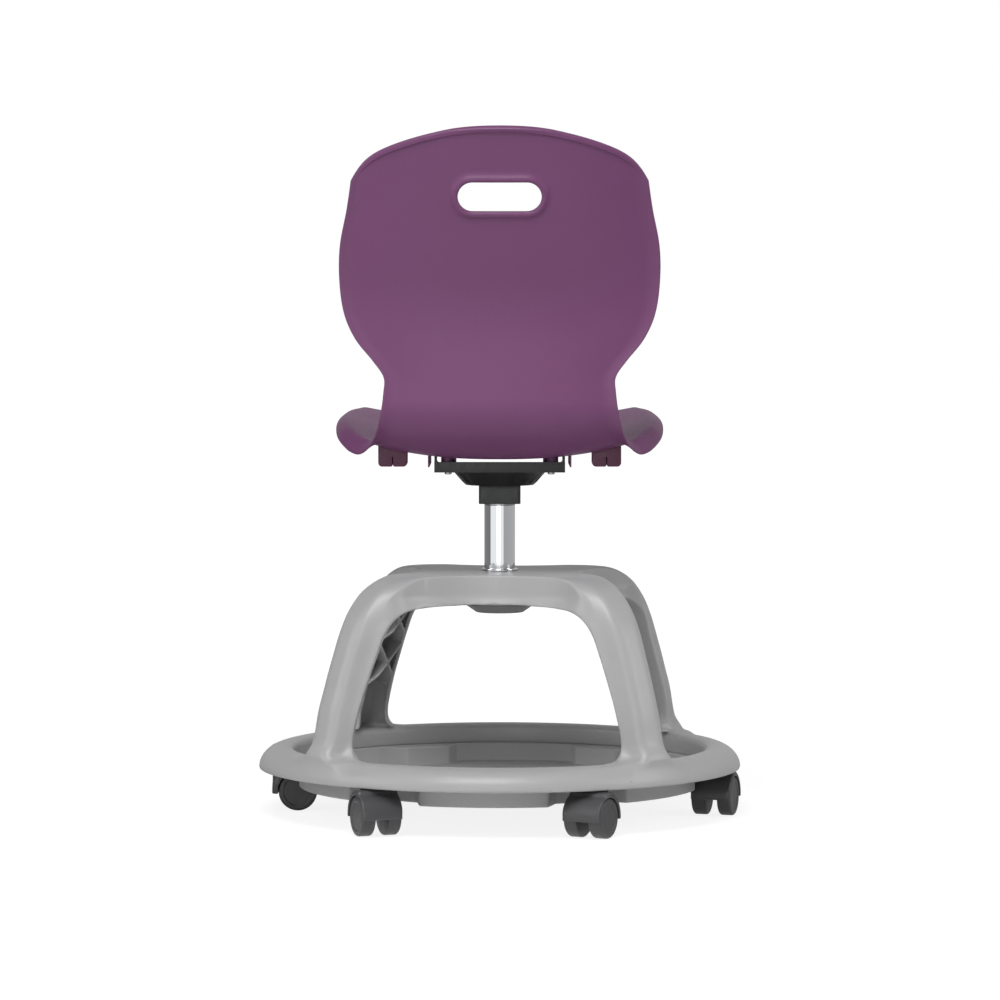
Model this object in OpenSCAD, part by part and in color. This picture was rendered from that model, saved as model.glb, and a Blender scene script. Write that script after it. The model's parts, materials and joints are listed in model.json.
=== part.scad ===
// Swivel chair with a one-piece plastic shell, a fixed column and a ring base on six twin-wheel casters.
// Millimetres, +Z up. The origin is on the floor, on the axis of the column. The front faces -Y.

/* [Seat shell] */
// Height of the middle of the shell's front edge above the floor
shell_front_z = 479; // [474:1:484]
// How far the front edge lies in front of the column axis
shell_front_y = 231; // [226:1:236]
// Wall thickness of the shell
shell_t = 5; // [4:0.5:6]
// Length of the seat between the front roll and the rear bend
seat_len = 298; // [290:1:306]
// Length of the flat upper part of the back
back_len = 184; // [176:1:190]
// Largest half width of the seat
seat_half_w = 213; // [208:1:218]
// Half width of the waist between the seat and the back
waist_half_w = 145; // [141:1:149]
// Largest half width of the back
back_half_w = 201.5; // [196:0.5:207]
// Width of the handle slot in the back
slot_w = 105; // [95:1:115]
// Height of the handle slot in the back
slot_h = 37; // [32:1:42]
// Height of the middle of the handle slot above the floor
slot_z = 793; // [785:1:800]

/* [Seat carrier] */
// Width of the pressed seat plate
plate_w = 175; // [165:1:180]
// Length of the pressed seat plate, front to back
plate_l = 190; // [170:1:200]
// Height of the plate's underside above the floor
plate_z = 441.5; // [441:0.5:442]
// Width of the dish under the plate, at its top
dish_top_d = 124; // [118:1:128]
// Width of the dish under the plate, at its bottom
dish_low_d = 88; // [82:1:92]
// Width of the square socket block
block_w = 54; // [52:1:58]
// Height of the socket block's underside above the floor
block_z = 401; // [400:0.5:402]

/* [Column] */
// Outside diameter of the chromed column
column_d = 40; // [38:0.5:42]
// Wall thickness of the column
column_t = 2.5; // [2:0.5:3]
// Diameter of the turning spindle
spindle_d = 22; // [20:1:24]

/* [Base] */
// Height of the base frame's top face above the floor
top_z = 314; // [310:1:316]
// Wall thickness of the moulded base frame
frame_t = 4.5; // [4:0.5:5]
// Outside radius of the floor ring
ring_r = 313; // [311:1:315]
// Radius of the ring's central opening
ring_hole_r = 267; // [265:1:269]
// Height of the ring's crest above the floor
ring_crest_z = 87; // [85:1:89]
// Height of the ring's lower lip above the floor
ring_lip_z = 59; // [58:0.5:60]
// How far the base is turned about the column, in degrees
base_yaw = -4.5; // [-6:0.5:0]

/* [Tray] */
// Radius of the storage tray's wall
tray_r = 262; // [260:1:263]
// Height of the tray's underside above the floor
tray_z = 34.5; // [33:0.5:37]
// Wall thickness of the tray
tray_t = 3; // [2.5:0.5:3.5]

/* [Casters] */
// Diameter of the caster wheels
wheel_d = 50; // [50:1:50]
// Width of one caster wheel
wheel_w = 18; // [17:0.5:19]
// Horizontal distance from the swivel axis to the wheel axle
caster_trail = 22; // [20:1:23]
// Radius of the circle that the caster swivels stand on
caster_r = 286; // [284:1:287]
// Diameter of the caster stem
stem_d = 11; // [10:0.5:12]

/* [Hidden] */
$fn = 64;

shell_purple = [0.44, 0.28, 0.41];
base_grey = [0.62, 0.62, 0.63];
tray_grey = [0.45, 0.45, 0.46];
chrome_grey = [0.82, 0.83, 0.85];
steel_grey = [0.6, 0.6, 0.62];
mech_black = [0.12, 0.12, 0.13];
caster_grey = [0.22, 0.23, 0.24];

// Fit between a turning part and the hole that it turns in, on the radius
run_gap = 0.05;

// Shell profile along its middle, from the front edge to the top: length and turn of each arc.
front_heading = 93;
front_roll_len = 43;
rear_bend_len = 118;
waist_len = 62;
lower_back_len = 90;
top_lip_len = 12;
profile = [
    [front_roll_len, -106], [seat_len / 2, 6], [seat_len / 2, 4], [rear_bend_len, 98],
    [waist_len, -2], [lower_back_len, -16], [back_len, 0], [top_lip_len, -45]
];
back_end_s = front_roll_len + seat_len + rear_bend_len + waist_len + lower_back_len
    + back_len + top_lip_len;
// Reach of the front roll, and length of the curved seat for each millimetre of its plan
front_roll_reach = 28.4;
seat_stretch = 1.007;

// Half width of the shell against the distance along the profile
half_widths = [
    [0, 184], [43, 199], [110, 209], [210, seat_half_w], [280, 209], [325, 195], [354, 179],
    [392, 162], [430, 152], [470, waist_half_w], [488, waist_half_w], [508, 160], [535, 181],
    [565, 193.5], [605, 200], [650, back_half_w], [700, 193.5], [750, 186.5], [809, 181]
];
// Rise of the shell's sides towards the sitter
side_rises = [
    [0, 8], [43, 19], [110, 30], [210, 38], [280, 34], [340, 24], [400, 16],
    [480, 12], [560, 18], [640, 22], [740, 20], [809, 16]
];
// Drop of the rolled edge away from the sitter
edge_rolls = [
    [0, 6], [43, 13], [110, 15], [210, 17], [340, 21], [385, 12], [430, 5], [480, 4], [809, 4]
];
roll_w = 20;
front_corner_cut = 30;
top_arch_drop = 43;
top_corner_drop = 33;
shell_cols = 24;
shell_rows = 66;

// Lengths of cutting bodies that only have to reach past what they cut
long_cut = 700;
short_cut = 60;

// Skin of the floor ring, from the inner wall's foot over the crest to the outer lip
ring_skin = [
    [ring_hole_r, ring_lip_z + 2], [ring_hole_r, ring_crest_z - 8],
    [ring_hole_r + 3, ring_crest_z - 2.5], [ring_hole_r + 9, ring_crest_z - 0.4],
    [ring_hole_r + 17, ring_crest_z], [ring_r - 21, ring_crest_z - 1.2],
    [ring_r - 12, ring_crest_z - 5.5], [ring_r - 5, ring_crest_z - 12.5],
    [ring_r - 1, ring_crest_z - 20.5], [ring_r, ring_lip_z]
];
// Outline of the base frame's arches, seen square on: half width against height
arch_outer = [
    [250, 60], [250, 86], [240, 90], [231, 98], [225, 112], [213, 140], [200, 205],
    [184, 257], [169, 287], [153, 303], [134, top_z - 2.5], [109, top_z], [0, top_z]
];
arch_inner = [
    [150, 50], [150, 84], [158, 87], [165, 93], [168.5, 104], [167, 122], [159, 157], [150, 187],
    [139, 221], [129, 247], [115, 264], [97, 272], [41, 275.5], [0, 276]
];
// Inner limit of the flanges that run round the arches, seen square on: half width against height
flange_low_z = 86;
flange_limit = [[205, 50], [200, 112], [176, 205], [160, 257], [145, 290], [130, 330], [0, 330]];
// Cut that makes the sides of the top plate hollow in plan: radius against height
waist_cut = [[140, 330], [140, 290], [134, 275], [124, 255], [110, 235]];
waist_cut_y = 245;
// Limit of the leg feet about the column axis: radius against height
foot_limit = [[311, 60], [311, 66], [308, 74], [303, 82], [300, 92], [300, 104], [304, 113], [400, 125]];
corner_chamfer = 24;
rib_t = 3;
rib_slope = 55;
rib_span = 90;
rib_in = 28;
leg_lean = 15.8;
top_rib_z = 277;
top_rib_len = 200;
base_low_z = 60;
// Height of each crossing of the leg ribs, and half width of the arch there
rib_crossings = [[178, 181], [236, 162]];

hub_r = 31;
hub_flange_r = 45.5;
hub_flange_z = 270;
hub_low_z = 268;
column_low_z = 262;
column_top_z = block_z - 1.5;
column_r = column_d / 2;
bush_r = column_r - column_t;
bush_len = 20;
lower_bush_z = 280;
spindle_r = spindle_d / 2;
spindle_low_z = 264;
spindle_top_z = 438;
circlip_z = 275.5;
collar_r = 23.5;
column_nut_r = 28;
spindle_nut_r = 19;
spindle_nut_h = 9;
cap_low_z = 259.5;
cap_low_r = 30.5;
cap_t = 2.2;

pan_t = 3;
pan_h = 13.5;
pan_top_z = plate_z + pan_t;
bolt_x = 66;
bolt_y = 78;
bolt_r = 2.5;
boss_r = 9;
insert_r = 4.2;
insert_len = 8;
dish_z = 425;
dish_t = 3;
dish_bolt_r = 38;
dish_bolt_depth = 6;
dish_boss_r = 6;
screw_head_r = 4.6;
screw_head_h = 3;
clip_in_x = 118;
clip_out_x = 155;
clip_low_z = 452;
clip_y = [52, 96];
rib_x = 90.7;

tray_rim_z = ring_lip_z - 1;
tray_rim_r = 280;
tray_screw_r = 276;
tray_boss_r = 6.5;
tray_screw_hole_r = 1.75;
tray_stem_hole_r = 15;
tray_tab_r = 7;
tray_wall_h = tray_rim_z - tray_z - tray_t;
pocket_in_r = 228;
pocket_in_half = 30;
pocket_out_half = 58;

// Height and depth of the caster parts
axle_z = wheel_d / 2;
axle_r = 3;
axle_half = 23;
web_half_w = 7;
wheel_gap = 1;
hood_in_r = axle_z + 1;
hood_r = axle_z + 8.5;
hood_tail_r = axle_z + 3.5;
hood_swing_r = 55.5;
hood_top_z = 57;
hood_chin_z = 22;
housing_r = 12;
stem_r = stem_d / 2;
stem_low_z = 34;
stem_top_z = 80;
socket_r = 8;
socket_boss_r = 12;
socket_top_z = 82;

// Bearing of each caster about the base, and where its wheels trail at rest, as the picture shows them
caster_bearings = [60, 0, -60, -120, 180, 120];
caster_headings = [111.7, 180, 150, 40, 72.5, 61.4];

// Smooth value at x between hand-chosen knots
function slope_at(k, i) =
    let (a = max(0, i - 1), b = min(len(k) - 1, i + 1)) (k[b][1] - k[a][1]) / (k[b][0] - k[a][0]);
function hermite(a, b, ma, mb, t) =
    (2 * pow(t, 3) - 3 * t * t + 1) * a + (pow(t, 3) - 2 * t * t + t) * ma
    + (3 * t * t - 2 * pow(t, 3)) * b + (pow(t, 3) - t * t) * mb;
function knot_value(k, x, i = 0) =
    x <= k[0][0] ? k[0][1] :
    i >= len(k) - 1 ? k[len(k) - 1][1] :
    x > k[i + 1][0] ? knot_value(k, x, i + 1) :
    let (h = k[i + 1][0] - k[i][0])
        hermite(k[i][1], k[i + 1][1], h * slope_at(k, i), h * slope_at(k, i + 1), (x - k[i][0]) / h);

// Walk along the shell's middle line: place and heading after distance s
function arc_step(p, s, seg) =
    let (turn = seg[1] * s / seg[0])
        abs(turn) < 0.001
            ? [p[0] + s * cos(p[2]), p[1] + s * sin(p[2]), p[2]]
            : let (r = s / (turn * PI / 180))
                [p[0] + r * (sin(p[2] + turn) - sin(p[2])),
                 p[1] - r * (cos(p[2] + turn) - cos(p[2])), p[2] + turn];
function walk(p, s, i = 0) =
    s <= profile[i][0] || i == len(profile) - 1
        ? arc_step(p, s, profile[i])
        : walk(arc_step(p, profile[i][0], profile[i]), s - profile[i][0], i + 1);

// Distance along the profile where the shell starts and ends, u across it from -1 to 1
function start_s(u) = front_corner_cut * pow(abs(u), 8);
function end_s(u) = back_end_s - top_arch_drop * pow(abs(u), 1.9) - top_corner_drop * pow(abs(u), 14);
function edge_share(u, w) = pow(max(0, 1 - (1 - abs(u)) * w / roll_w), 2);
function shell_lift(u, s, w) =
    knot_value(side_rises, s) * pow(abs(u), 2.4) - knot_value(edge_rolls, s) * edge_share(u, w);
// A point of the shell, off millimetres above its middle surface
function shell_point(u, v, off) =
    let (
        s = start_s(u) + (end_s(u) - start_s(u)) * v,
        p = walk([-shell_front_y, shell_front_z, front_heading], s),
        w = knot_value(half_widths, s),
        lift = shell_lift(u, s, w) + off
    ) [u * w, p[0] - lift * sin(p[2]), p[1] + lift * cos(p[2])];

// Columns lie closer together towards the rolled edges
function col_u(i) = let (t = 2 * i / shell_cols - 1) sign(t) * (1 - pow(1 - abs(t), 1.35));

module seat_shell() {
    sheet = [
        for (off = [shell_t / 2, -shell_t / 2]) for (j = [0 : shell_rows]) for (i = [0 : shell_cols])
            shell_point(col_u(i), j / shell_rows, off)
    ];
    across = shell_cols + 1;
    below = across * (shell_rows + 1);
    top_faces = [
        for (j = [0 : shell_rows - 1]) for (i = [0 : shell_cols - 1]) for (half = [0, 1])
            let (a = j * across + i, b = a + 1, c = b + across, d = a + across)
                half == 0 ? [a, c, b] : [a, d, c]
    ];
    low_faces = [for (f = top_faces) [f[2] + below, f[1] + below, f[0] + below]];
    rim = concat(
        [for (i = [0 : shell_cols - 1]) i],
        [for (j = [0 : shell_rows - 1]) j * across + shell_cols],
        [for (i = [0 : shell_cols - 1]) shell_rows * across + shell_cols - i],
        [for (j = [0 : shell_rows - 1]) (shell_rows - j) * across]
    );
    rim_faces = [
        for (i = [0 : len(rim) - 1]) for (half = [0, 1])
            let (a = rim[i], b = rim[(i + 1) % len(rim)])
                half == 0 ? [a, b, b + below] : [a, b + below, a + below]
    ];
    color(shell_purple)
    difference() {
        union() {
            polyhedron(points = sheet, faces = concat(top_faces, low_faces, rim_faces), convexity = 8);
            for (p = seat_bolts()) shell_boss(p[0], p[1]);
            for (side = [0, 1]) mirror([side, 0, 0]) {
                clip_block();
                locating_rib();
            }
        }
        translate([0, 300, slot_z]) rotate([90, 0, 0]) slot_prism(slot_w, slot_h, 200);
        for (p = seat_bolts()) translate([p[0], p[1], pan_top_z - 1])
            cylinder(r = insert_r, h = insert_len + 1);
    }
}

// Boss that carries one threaded insert, from the plate up into the shell
module shell_boss(x, y) {
    translate([x, y, pan_top_z]) cylinder(r = boss_r, h = seat_mid_z(abs(x), y) - pan_top_z);
}

// Moulded clip under the side of the seat, with a slit from below
module clip_block() {
    mid_x = (clip_in_x + clip_out_x) / 2;
    mid_y = (clip_y[0] + clip_y[1]) / 2;
    bevel = 5;
    translate([0, clip_y[1], 0]) rotate([90, 0, 0]) linear_extrude(clip_y[1] - clip_y[0]) difference() {
        polygon([
            [clip_in_x, clip_low_z + bevel], [clip_in_x + bevel, clip_low_z],
            [clip_out_x - bevel, clip_low_z], [clip_out_x, clip_low_z + bevel],
            [clip_out_x, seat_mid_z(clip_out_x, mid_y)], [clip_in_x, seat_mid_z(clip_in_x, mid_y)]
        ]);
        translate([mid_x - 1.5, clip_low_z - 1]) square([3, 13]);
    }
}

// Thin moulded rib that keeps the shell central on the plate
module locating_rib() {
    ends = [-60, -10, 40, 90];
    translate([rib_x - 1, 0, 0]) rotate([90, 0, 90]) linear_extrude(2)
        polygon(concat([[ends[3], plate_z + 9.5], [ends[0], plate_z + 9.5]],
            [for (y = ends) [y, seat_mid_z(rib_x, y)]]));
}

// A bar with round ends, standing on z = 0
module slot_prism(w, h, depth) {
    linear_extrude(depth) union() {
        square([w - h, h], center = true);
        for (side = [-1, 1]) translate([side * (w - h) / 2, 0]) circle(d = h);
    }
}

// Height of the shell's middle surface over a point of the seat, near enough for what joins it
function seat_mid_z(x, y) =
    let (
        s = front_roll_len + (y + shell_front_y - front_roll_reach) * seat_stretch,
        p = walk([-shell_front_y, shell_front_z, front_heading], s),
        w = knot_value(half_widths, s)
    ) p[1] + shell_lift(x / w, s, w);

// Places of the four screws between the seat plate and the shell
function seat_bolts() = [for (x = [-bolt_x, bolt_x]) for (y = [-bolt_y, bolt_y]) [x, y]];

// A path moved sideways by t, to the left of its own direction
function side_step(path, i, t) =
    let (d = path[min(len(path) - 1, i + 1)] - path[max(0, i - 1)]) path[i] + t * [-d[1], d[0]] / norm(d);
function inset_path(path, t) = [for (i = [0 : len(path) - 1]) side_step(path, i, t)];
function backwards(path) = [for (i = [len(path) - 1 : -1 : 0]) path[i]];
function mirrored(path) = concat(path, [for (i = [len(path) - 2 : -1 : 0]) [-path[i][0], path[i][1]]]);

// Tube with its axis on Z
module tube(r_out, r_in, z, h) {
    translate([0, 0, z]) difference() {
        cylinder(r = r_out, h = h);
        translate([0, 0, -1]) cylinder(r = r_in, h = h + 2);
    }
}

// Square-on outline run right through the base along Y
module through_prism(outline) {
    rotate([90, 0, 0]) linear_extrude(long_cut, center = true) polygon(mirrored(outline));
}

// Four-sided block that the arches are cut from; t above 0 gives the hollow inside its walls
module arch_block(t) {
    side = inset_path(arch_outer, t);
    corner = inset_path([for (p = arch_outer) [max(0, (2 * p[0] - corner_chamfer) / sqrt(2)), p[1]]], t);
    foot = inset_path(foot_limit, t);
    low = t > 0 ? base_low_z - 10 : base_low_z;
    difference() {
        intersection() {
            through_prism(concat([[side[0][0], low]], side));
            rotate([0, 0, 90]) through_prism(concat([[side[0][0], low]], side));
            rotate([0, 0, 45]) through_prism(concat([[corner[0][0], low]], corner));
            rotate([0, 0, -45]) through_prism(concat([[corner[0][0], low]], corner));
            rotate_extrude() polygon(concat([[0, 400], [0, low], [foot[0][0], low]], foot, [[400, 400]]));
        }
        for (a = [0 : 90 : 270]) rotate([0, 0, a]) translate([0, waist_cut_y, 0])
            rotate_extrude() polygon(concat([for (p = waist_cut) [p[0] + t, p[1]]], [[0, 235], [0, 330]]));
    }
}

// Flanges that run round the arches above the ring, at right angles to the arches' faces
module arch_flanges() {
    difference() {
        for (a = [0, 90]) rotate([0, 0, a]) through_prism(inset_path(arch_inner, -frame_t));
        intersection_for (a = [0, 90]) rotate([0, 0, a]) through_prism(flange_limit);
        translate([0, 0, flange_low_z - long_cut]) cylinder(r = long_cut, h = long_cut);
    }
}

// Crossed ribs inside the legs and straight ribs under the top plate
module frame_ribs() {
    for (a = [45 : 90 : 315]) rotate([0, 0, a]) {
        for (c = rib_crossings) for (slope = [-rib_slope, rib_slope])
            translate([c[1] * sqrt(2) - rib_in, 0, c[0]]) rotate([0, -leg_lean, 0]) rotate([slope, 0, 0])
                translate([0, -rib_span / 2, -rib_t / 2]) cube([rib_span, rib_span, rib_t]);
        translate([0, -rib_t / 2, top_rib_z]) cube([top_rib_len, rib_t, top_z - top_rib_z]);
    }
}

module floor_ring() {
    rotate_extrude($fn = 128) polygon(concat(ring_skin, backwards(inset_path(ring_skin, -frame_t))));
}

module base_frame() {
    color(base_grey) rotate([0, 0, base_yaw]) difference() {
        union() {
            difference() {
                arch_block(0);
                through_prism(arch_inner);
                rotate([0, 0, 90]) through_prism(arch_inner);
                difference() {
                    arch_block(frame_t);
                    frame_ribs();
                    arch_flanges();
                }
            }
            floor_ring();
            translate([0, 0, hub_low_z]) cylinder(r = hub_r, h = top_z - hub_low_z);
            translate([0, 0, hub_flange_z]) cylinder(r = hub_flange_r, h = 4);
            for (a = [0 : 60 : 300]) rotate([0, 0, a]) {
                translate([caster_r, 0, ring_lip_z])
                    cylinder(r = socket_boss_r, h = ring_crest_z - 3 - ring_lip_z);
                rotate([0, 0, 30]) translate([tray_screw_r, 0, tray_rim_z + tray_t])
                    cylinder(r = tray_boss_r, h = ring_crest_z - 4 - tray_rim_z - tray_t);
            }
        }
        translate([0, 0, column_low_z - 1]) cylinder(r = column_r, h = short_cut);
        for (a = [0 : 60 : 300]) rotate([0, 0, a]) {
            translate([caster_r, 0, 0]) cylinder(r = socket_r, h = socket_top_z);
            rotate([0, 0, 30]) translate([tray_screw_r, 0, 0])
                cylinder(r = tray_screw_hole_r, h = ring_crest_z - 8);
        }
    }
}

// Plan of the tray inside its rim, drawn in by g: round, with a pocket for each caster
module tray_plan(g) {
    difference() {
        circle(r = tray_r - g, $fn = 128);
        for (a = [0 : 60 : 300]) rotate(a) polygon([
            [pocket_in_r - g, -pocket_in_half - g], [tray_r, -pocket_out_half - g],
            [tray_r + 40, -pocket_out_half - g], [tray_r + 40, pocket_out_half + g],
            [tray_r, pocket_out_half + g], [pocket_in_r - g, pocket_in_half + g]
        ]);
    }
}

// Flat wall at the inner side of each pocket, thicker and taller by g at each side
module pocket_blocks(g) {
    for (a = [0 : 60 : 300]) rotate([0, 0, a])
        translate([pocket_in_r - tray_t - g, -pocket_in_half, tray_z + tray_t - g])
            cube([tray_t + 2 * g, 2 * pocket_in_half, tray_wall_h + 2 * g]);
}

module tray_floor() {
    color(tray_grey) rotate([0, 0, base_yaw])
        translate([0, 0, tray_z]) linear_extrude(tray_t) tray_plan(0);
}

module tray_walls() {
    color(tray_grey) rotate([0, 0, base_yaw]) difference() {
        translate([0, 0, tray_z + tray_t]) linear_extrude(tray_wall_h) difference() {
            tray_plan(0);
            tray_plan(tray_t);
        }
        pocket_blocks(1);
    }
}

module tray_pockets() {
    color(tray_grey) rotate([0, 0, base_yaw]) pocket_blocks(0);
}

module tray_rim() {
    color(tray_grey) rotate([0, 0, base_yaw]) difference() {
        translate([0, 0, tray_rim_z]) union() {
            cylinder(r = tray_rim_r, h = tray_t, $fn = 128);
            for (a = [30 : 60 : 330]) rotate([0, 0, a]) translate([tray_screw_r, 0, 0])
                cylinder(r = tray_tab_r, h = tray_t);
        }
        translate([0, 0, tray_rim_z - 1]) linear_extrude(tray_t + 2) tray_plan(tray_t);
        for (a = [0 : 60 : 300]) rotate([0, 0, a]) {
            translate([caster_r, 0, tray_rim_z - 1]) cylinder(r = tray_stem_hole_r, h = tray_t + 2);
            rotate([0, 0, 30]) translate([tray_screw_r, 0, tray_rim_z - 1])
                cylinder(r = tray_screw_hole_r, h = tray_t + 2);
        }
    }
}

module tray_screws() {
    color(steel_grey) rotate([0, 0, base_yaw]) for (a = [30 : 60 : 330]) rotate([0, 0, a])
        translate([tray_screw_r, 0, tray_rim_z - 2.2]) {
            cylinder(r1 = 2.6, r2 = 3.6, h = 2.2);
            translate([0, 0, 1]) cylinder(r = tray_screw_hole_r, h = 17);
        }
}

module column_tube() {
    color(chrome_grey) tube(column_r, bush_r, column_low_z, column_top_z - column_low_z);
}

module column_collar() {
    color(chrome_grey) translate([0, 0, top_z]) rotate_extrude()
        polygon([[column_r, 0], [collar_r, 0], [collar_r, 1.6], [collar_r - 1.4, 3], [column_r, 3]]);
}

module column_nut() {
    color(steel_grey) translate([0, 0, column_low_z]) difference() {
        cylinder(r = column_nut_r, h = hub_low_z - column_low_z, $fn = 6);
        translate([0, 0, -1]) cylinder(r = column_r, h = 20);
    }
}

// Round cap that closes the hub from below
module hub_cap() {
    cap_h = hub_flange_z - cap_low_z;
    color(mech_black) translate([0, 0, cap_low_z]) rotate_extrude() polygon([
        [0, 0], [cap_low_r, 0], [hub_flange_r, cap_h], [hub_flange_r - cap_t, cap_h],
        [cap_low_r - cap_t + 0.5, cap_t], [0, cap_t]
    ]);
}

module upper_bush() {
    color(mech_black) tube(bush_r, spindle_r + run_gap, column_top_z - bush_len, bush_len);
}

module lower_bush() {
    color(mech_black) tube(bush_r, spindle_r + run_gap, lower_bush_z, bush_len);
}

module thrust_washer() {
    color(steel_grey) tube(column_r, spindle_r + run_gap, column_top_z, block_z - 0.1 - column_top_z);
}

module caster_sockets() {
    color(mech_black) rotate([0, 0, base_yaw]) for (a = [0 : 60 : 300]) rotate([0, 0, a])
        translate([caster_r, 0, 0]) tube(socket_r, stem_r + run_gap, ring_lip_z, socket_top_z - ring_lip_z);
}

module spindle() {
    groove_h = 1.8;
    color(steel_grey) difference() {
        translate([0, 0, spindle_low_z]) cylinder(r = spindle_r, h = spindle_top_z - spindle_low_z);
        tube(spindle_r + 1, spindle_r - 1, circlip_z, groove_h);
    }
}

module spindle_circlip() {
    color(steel_grey) difference() {
        tube(spindle_r + 2.5, spindle_r - 1, circlip_z, 1.8);
        translate([0, 0, circlip_z - 1]) linear_extrude(4) square([40, 5]);
    }
}

module spindle_washer() {
    color(steel_grey) tube(bush_r - 1, spindle_r, circlip_z + 1.8, 2);
}

module spindle_nut() {
    color(steel_grey) translate([0, 0, dish_z + dish_t]) difference() {
        cylinder(r = spindle_nut_r, h = spindle_nut_h, $fn = 6);
        translate([0, 0, -1]) cylinder(r = spindle_r, h = 12);
    }
}

module socket_block() {
    corner = 4;
    color(mech_black) translate([0, 0, block_z]) difference() {
        linear_extrude(dish_z - block_z) union() {
            square([block_w, block_w - 2 * corner], center = true);
            square([block_w - 2 * corner, block_w], center = true);
            for (x = [-1, 1]) for (y = [-1, 1])
                translate([x, y] * (block_w / 2 - corner)) circle(r = corner);
        }
        translate([0, 0, -1]) cylinder(r = spindle_r, h = short_cut);
    }
}

module carrier_dish() {
    top_r = dish_top_d / 2;
    low_r = dish_low_d / 2;
    h = plate_z - dish_z;
    color(mech_black) translate([0, 0, dish_z]) difference() {
        union() {
            rotate_extrude() polygon([
                [0, 0], [low_r, 0], [top_r, h], [top_r - dish_t, h], [low_r - dish_t, dish_t], [0, dish_t]
            ]);
            for (a = [45 : 90 : 315]) rotate([0, 0, a]) translate([dish_bolt_r, 0, 1])
                cylinder(r = dish_boss_r, h = h - 1);
        }
        translate([0, 0, -1]) cylinder(r = spindle_r, h = short_cut);
        for (a = [45 : 90 : 315]) rotate([0, 0, a]) translate([dish_bolt_r, 0, dish_bolt_depth])
            cylinder(r = bolt_r, h = short_cut);
    }
}

module dish_screws() {
    color(steel_grey) for (a = [45 : 90 : 315]) rotate([0, 0, a]) translate([dish_bolt_r, 0, 0]) {
        translate([0, 0, dish_z + dish_bolt_depth])
            cylinder(r = bolt_r, h = pan_top_z - dish_z - dish_bolt_depth + 1);
        translate([0, 0, pan_top_z]) cylinder(r = screw_head_r, h = screw_head_h);
    }
}

// Pressed plate with turned-up edges and a tab at each side that steadies the shell
module seat_plate() {
    tab_h = seat_mid_z(plate_w / 2, 84) - shell_t / 2 - 0.6 - plate_z;
    color(mech_black) difference() {
        union() {
            difference() {
                translate([-plate_w / 2, -plate_l / 2, plate_z]) cube([plate_w, plate_l, pan_h]);
                translate([-plate_w / 2 + pan_t, -plate_l / 2 + pan_t, pan_top_z])
                    cube([plate_w - 2 * pan_t, plate_l - 2 * pan_t, pan_h]);
            }
            for (side = [0, 1]) mirror([side, 0, 0])
                translate([plate_w / 2 - pan_t, 44, plate_z]) cube([pan_t, 40, tab_h]);
        }
        for (p = seat_bolts()) translate([p[0], p[1], plate_z - 1]) cylinder(r = bolt_r, h = pan_t + 2);
        for (a = [45 : 90 : 315]) rotate([0, 0, a]) translate([dish_bolt_r, 0, plate_z - 1])
            cylinder(r = bolt_r, h = pan_t + 2);
    }
}

module seat_inserts() {
    color([0.72, 0.6, 0.3]) for (p = seat_bolts()) translate([p[0], p[1], 0])
        tube(insert_r, bolt_r, pan_top_z, insert_len);
}

module seat_screws() {
    color(steel_grey) for (p = seat_bolts()) translate([p[0], p[1], plate_z]) {
        cylinder(r = bolt_r, h = insert_len + 2);
        translate([0, 0, -screw_head_h]) cylinder(r = screw_head_r, h = screw_head_h);
    }
}

// Puts caster number n, drawn with its swivel on Z and its wheels trailing along +X
module at_caster(n) {
    rotate([0, 0, base_yaw + caster_bearings[n]]) translate([caster_r, 0, 0])
        rotate([0, 0, caster_headings[n] - base_yaw - caster_bearings[n]]) children();
}

// A round bar across the caster, centred on the axle
module axle_bar(r, half) {
    translate([caster_trail, 0, axle_z]) rotate([90, 0, 0]) cylinder(r = r, h = 2 * half, center = true);
}

// Body between and over the wheels of a caster
module caster_hood(n) {
    fender_half = web_half_w + wheel_gap + wheel_w;
    color(caster_grey) at_caster(n) difference() {
        union() {
            intersection() {
                axle_bar(hood_r, fender_half);
                translate([-hood_r - 5, -hood_r - 5, hood_chin_z])
                    cube([hood_r + caster_trail + 13, 2 * hood_r + 10, hood_top_z - hood_chin_z]);
            }
            intersection() {
                axle_bar(hood_tail_r, fender_half);
                translate([0, 0, hood_chin_z])
                    cylinder(r = hood_swing_r, h = hood_top_z - hood_chin_z, $fn = 96);
            }
            intersection() {
                translate([0, 0, hood_chin_z]) cylinder(r = housing_r, h = hood_top_z - hood_chin_z);
                translate([-20, -fender_half, 0]) cube([40, 2 * fender_half, hood_top_z]);
            }
            axle_bar(9, web_half_w);
        }
        for (side = [-1, 1]) translate([caster_trail, side * (web_half_w + fender_half), axle_z])
            rotate([90, 0, 0]) cylinder(r = hood_in_r, h = 2 * fender_half, center = true);
        translate([0, 0, stem_low_z]) cylinder(r = stem_r, h = short_cut);
        axle_bar(axle_r, short_cut);
    }
}

module caster_stem(n) {
    color(steel_grey) at_caster(n) {
        translate([0, 0, stem_low_z]) cylinder(r = stem_r, h = stem_top_z - 1.5 - stem_low_z);
        translate([0, 0, stem_top_z - 1.5]) cylinder(r1 = stem_r, r2 = stem_r - 1.5, h = 1.5);
        translate([0, 0, hood_top_z]) cylinder(r = socket_r, h = ring_lip_z - 0.2 - hood_top_z);
    }
}

module caster_axle(n) {
    color(steel_grey) at_caster(n) axle_bar(axle_r, axle_half);
}

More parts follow.
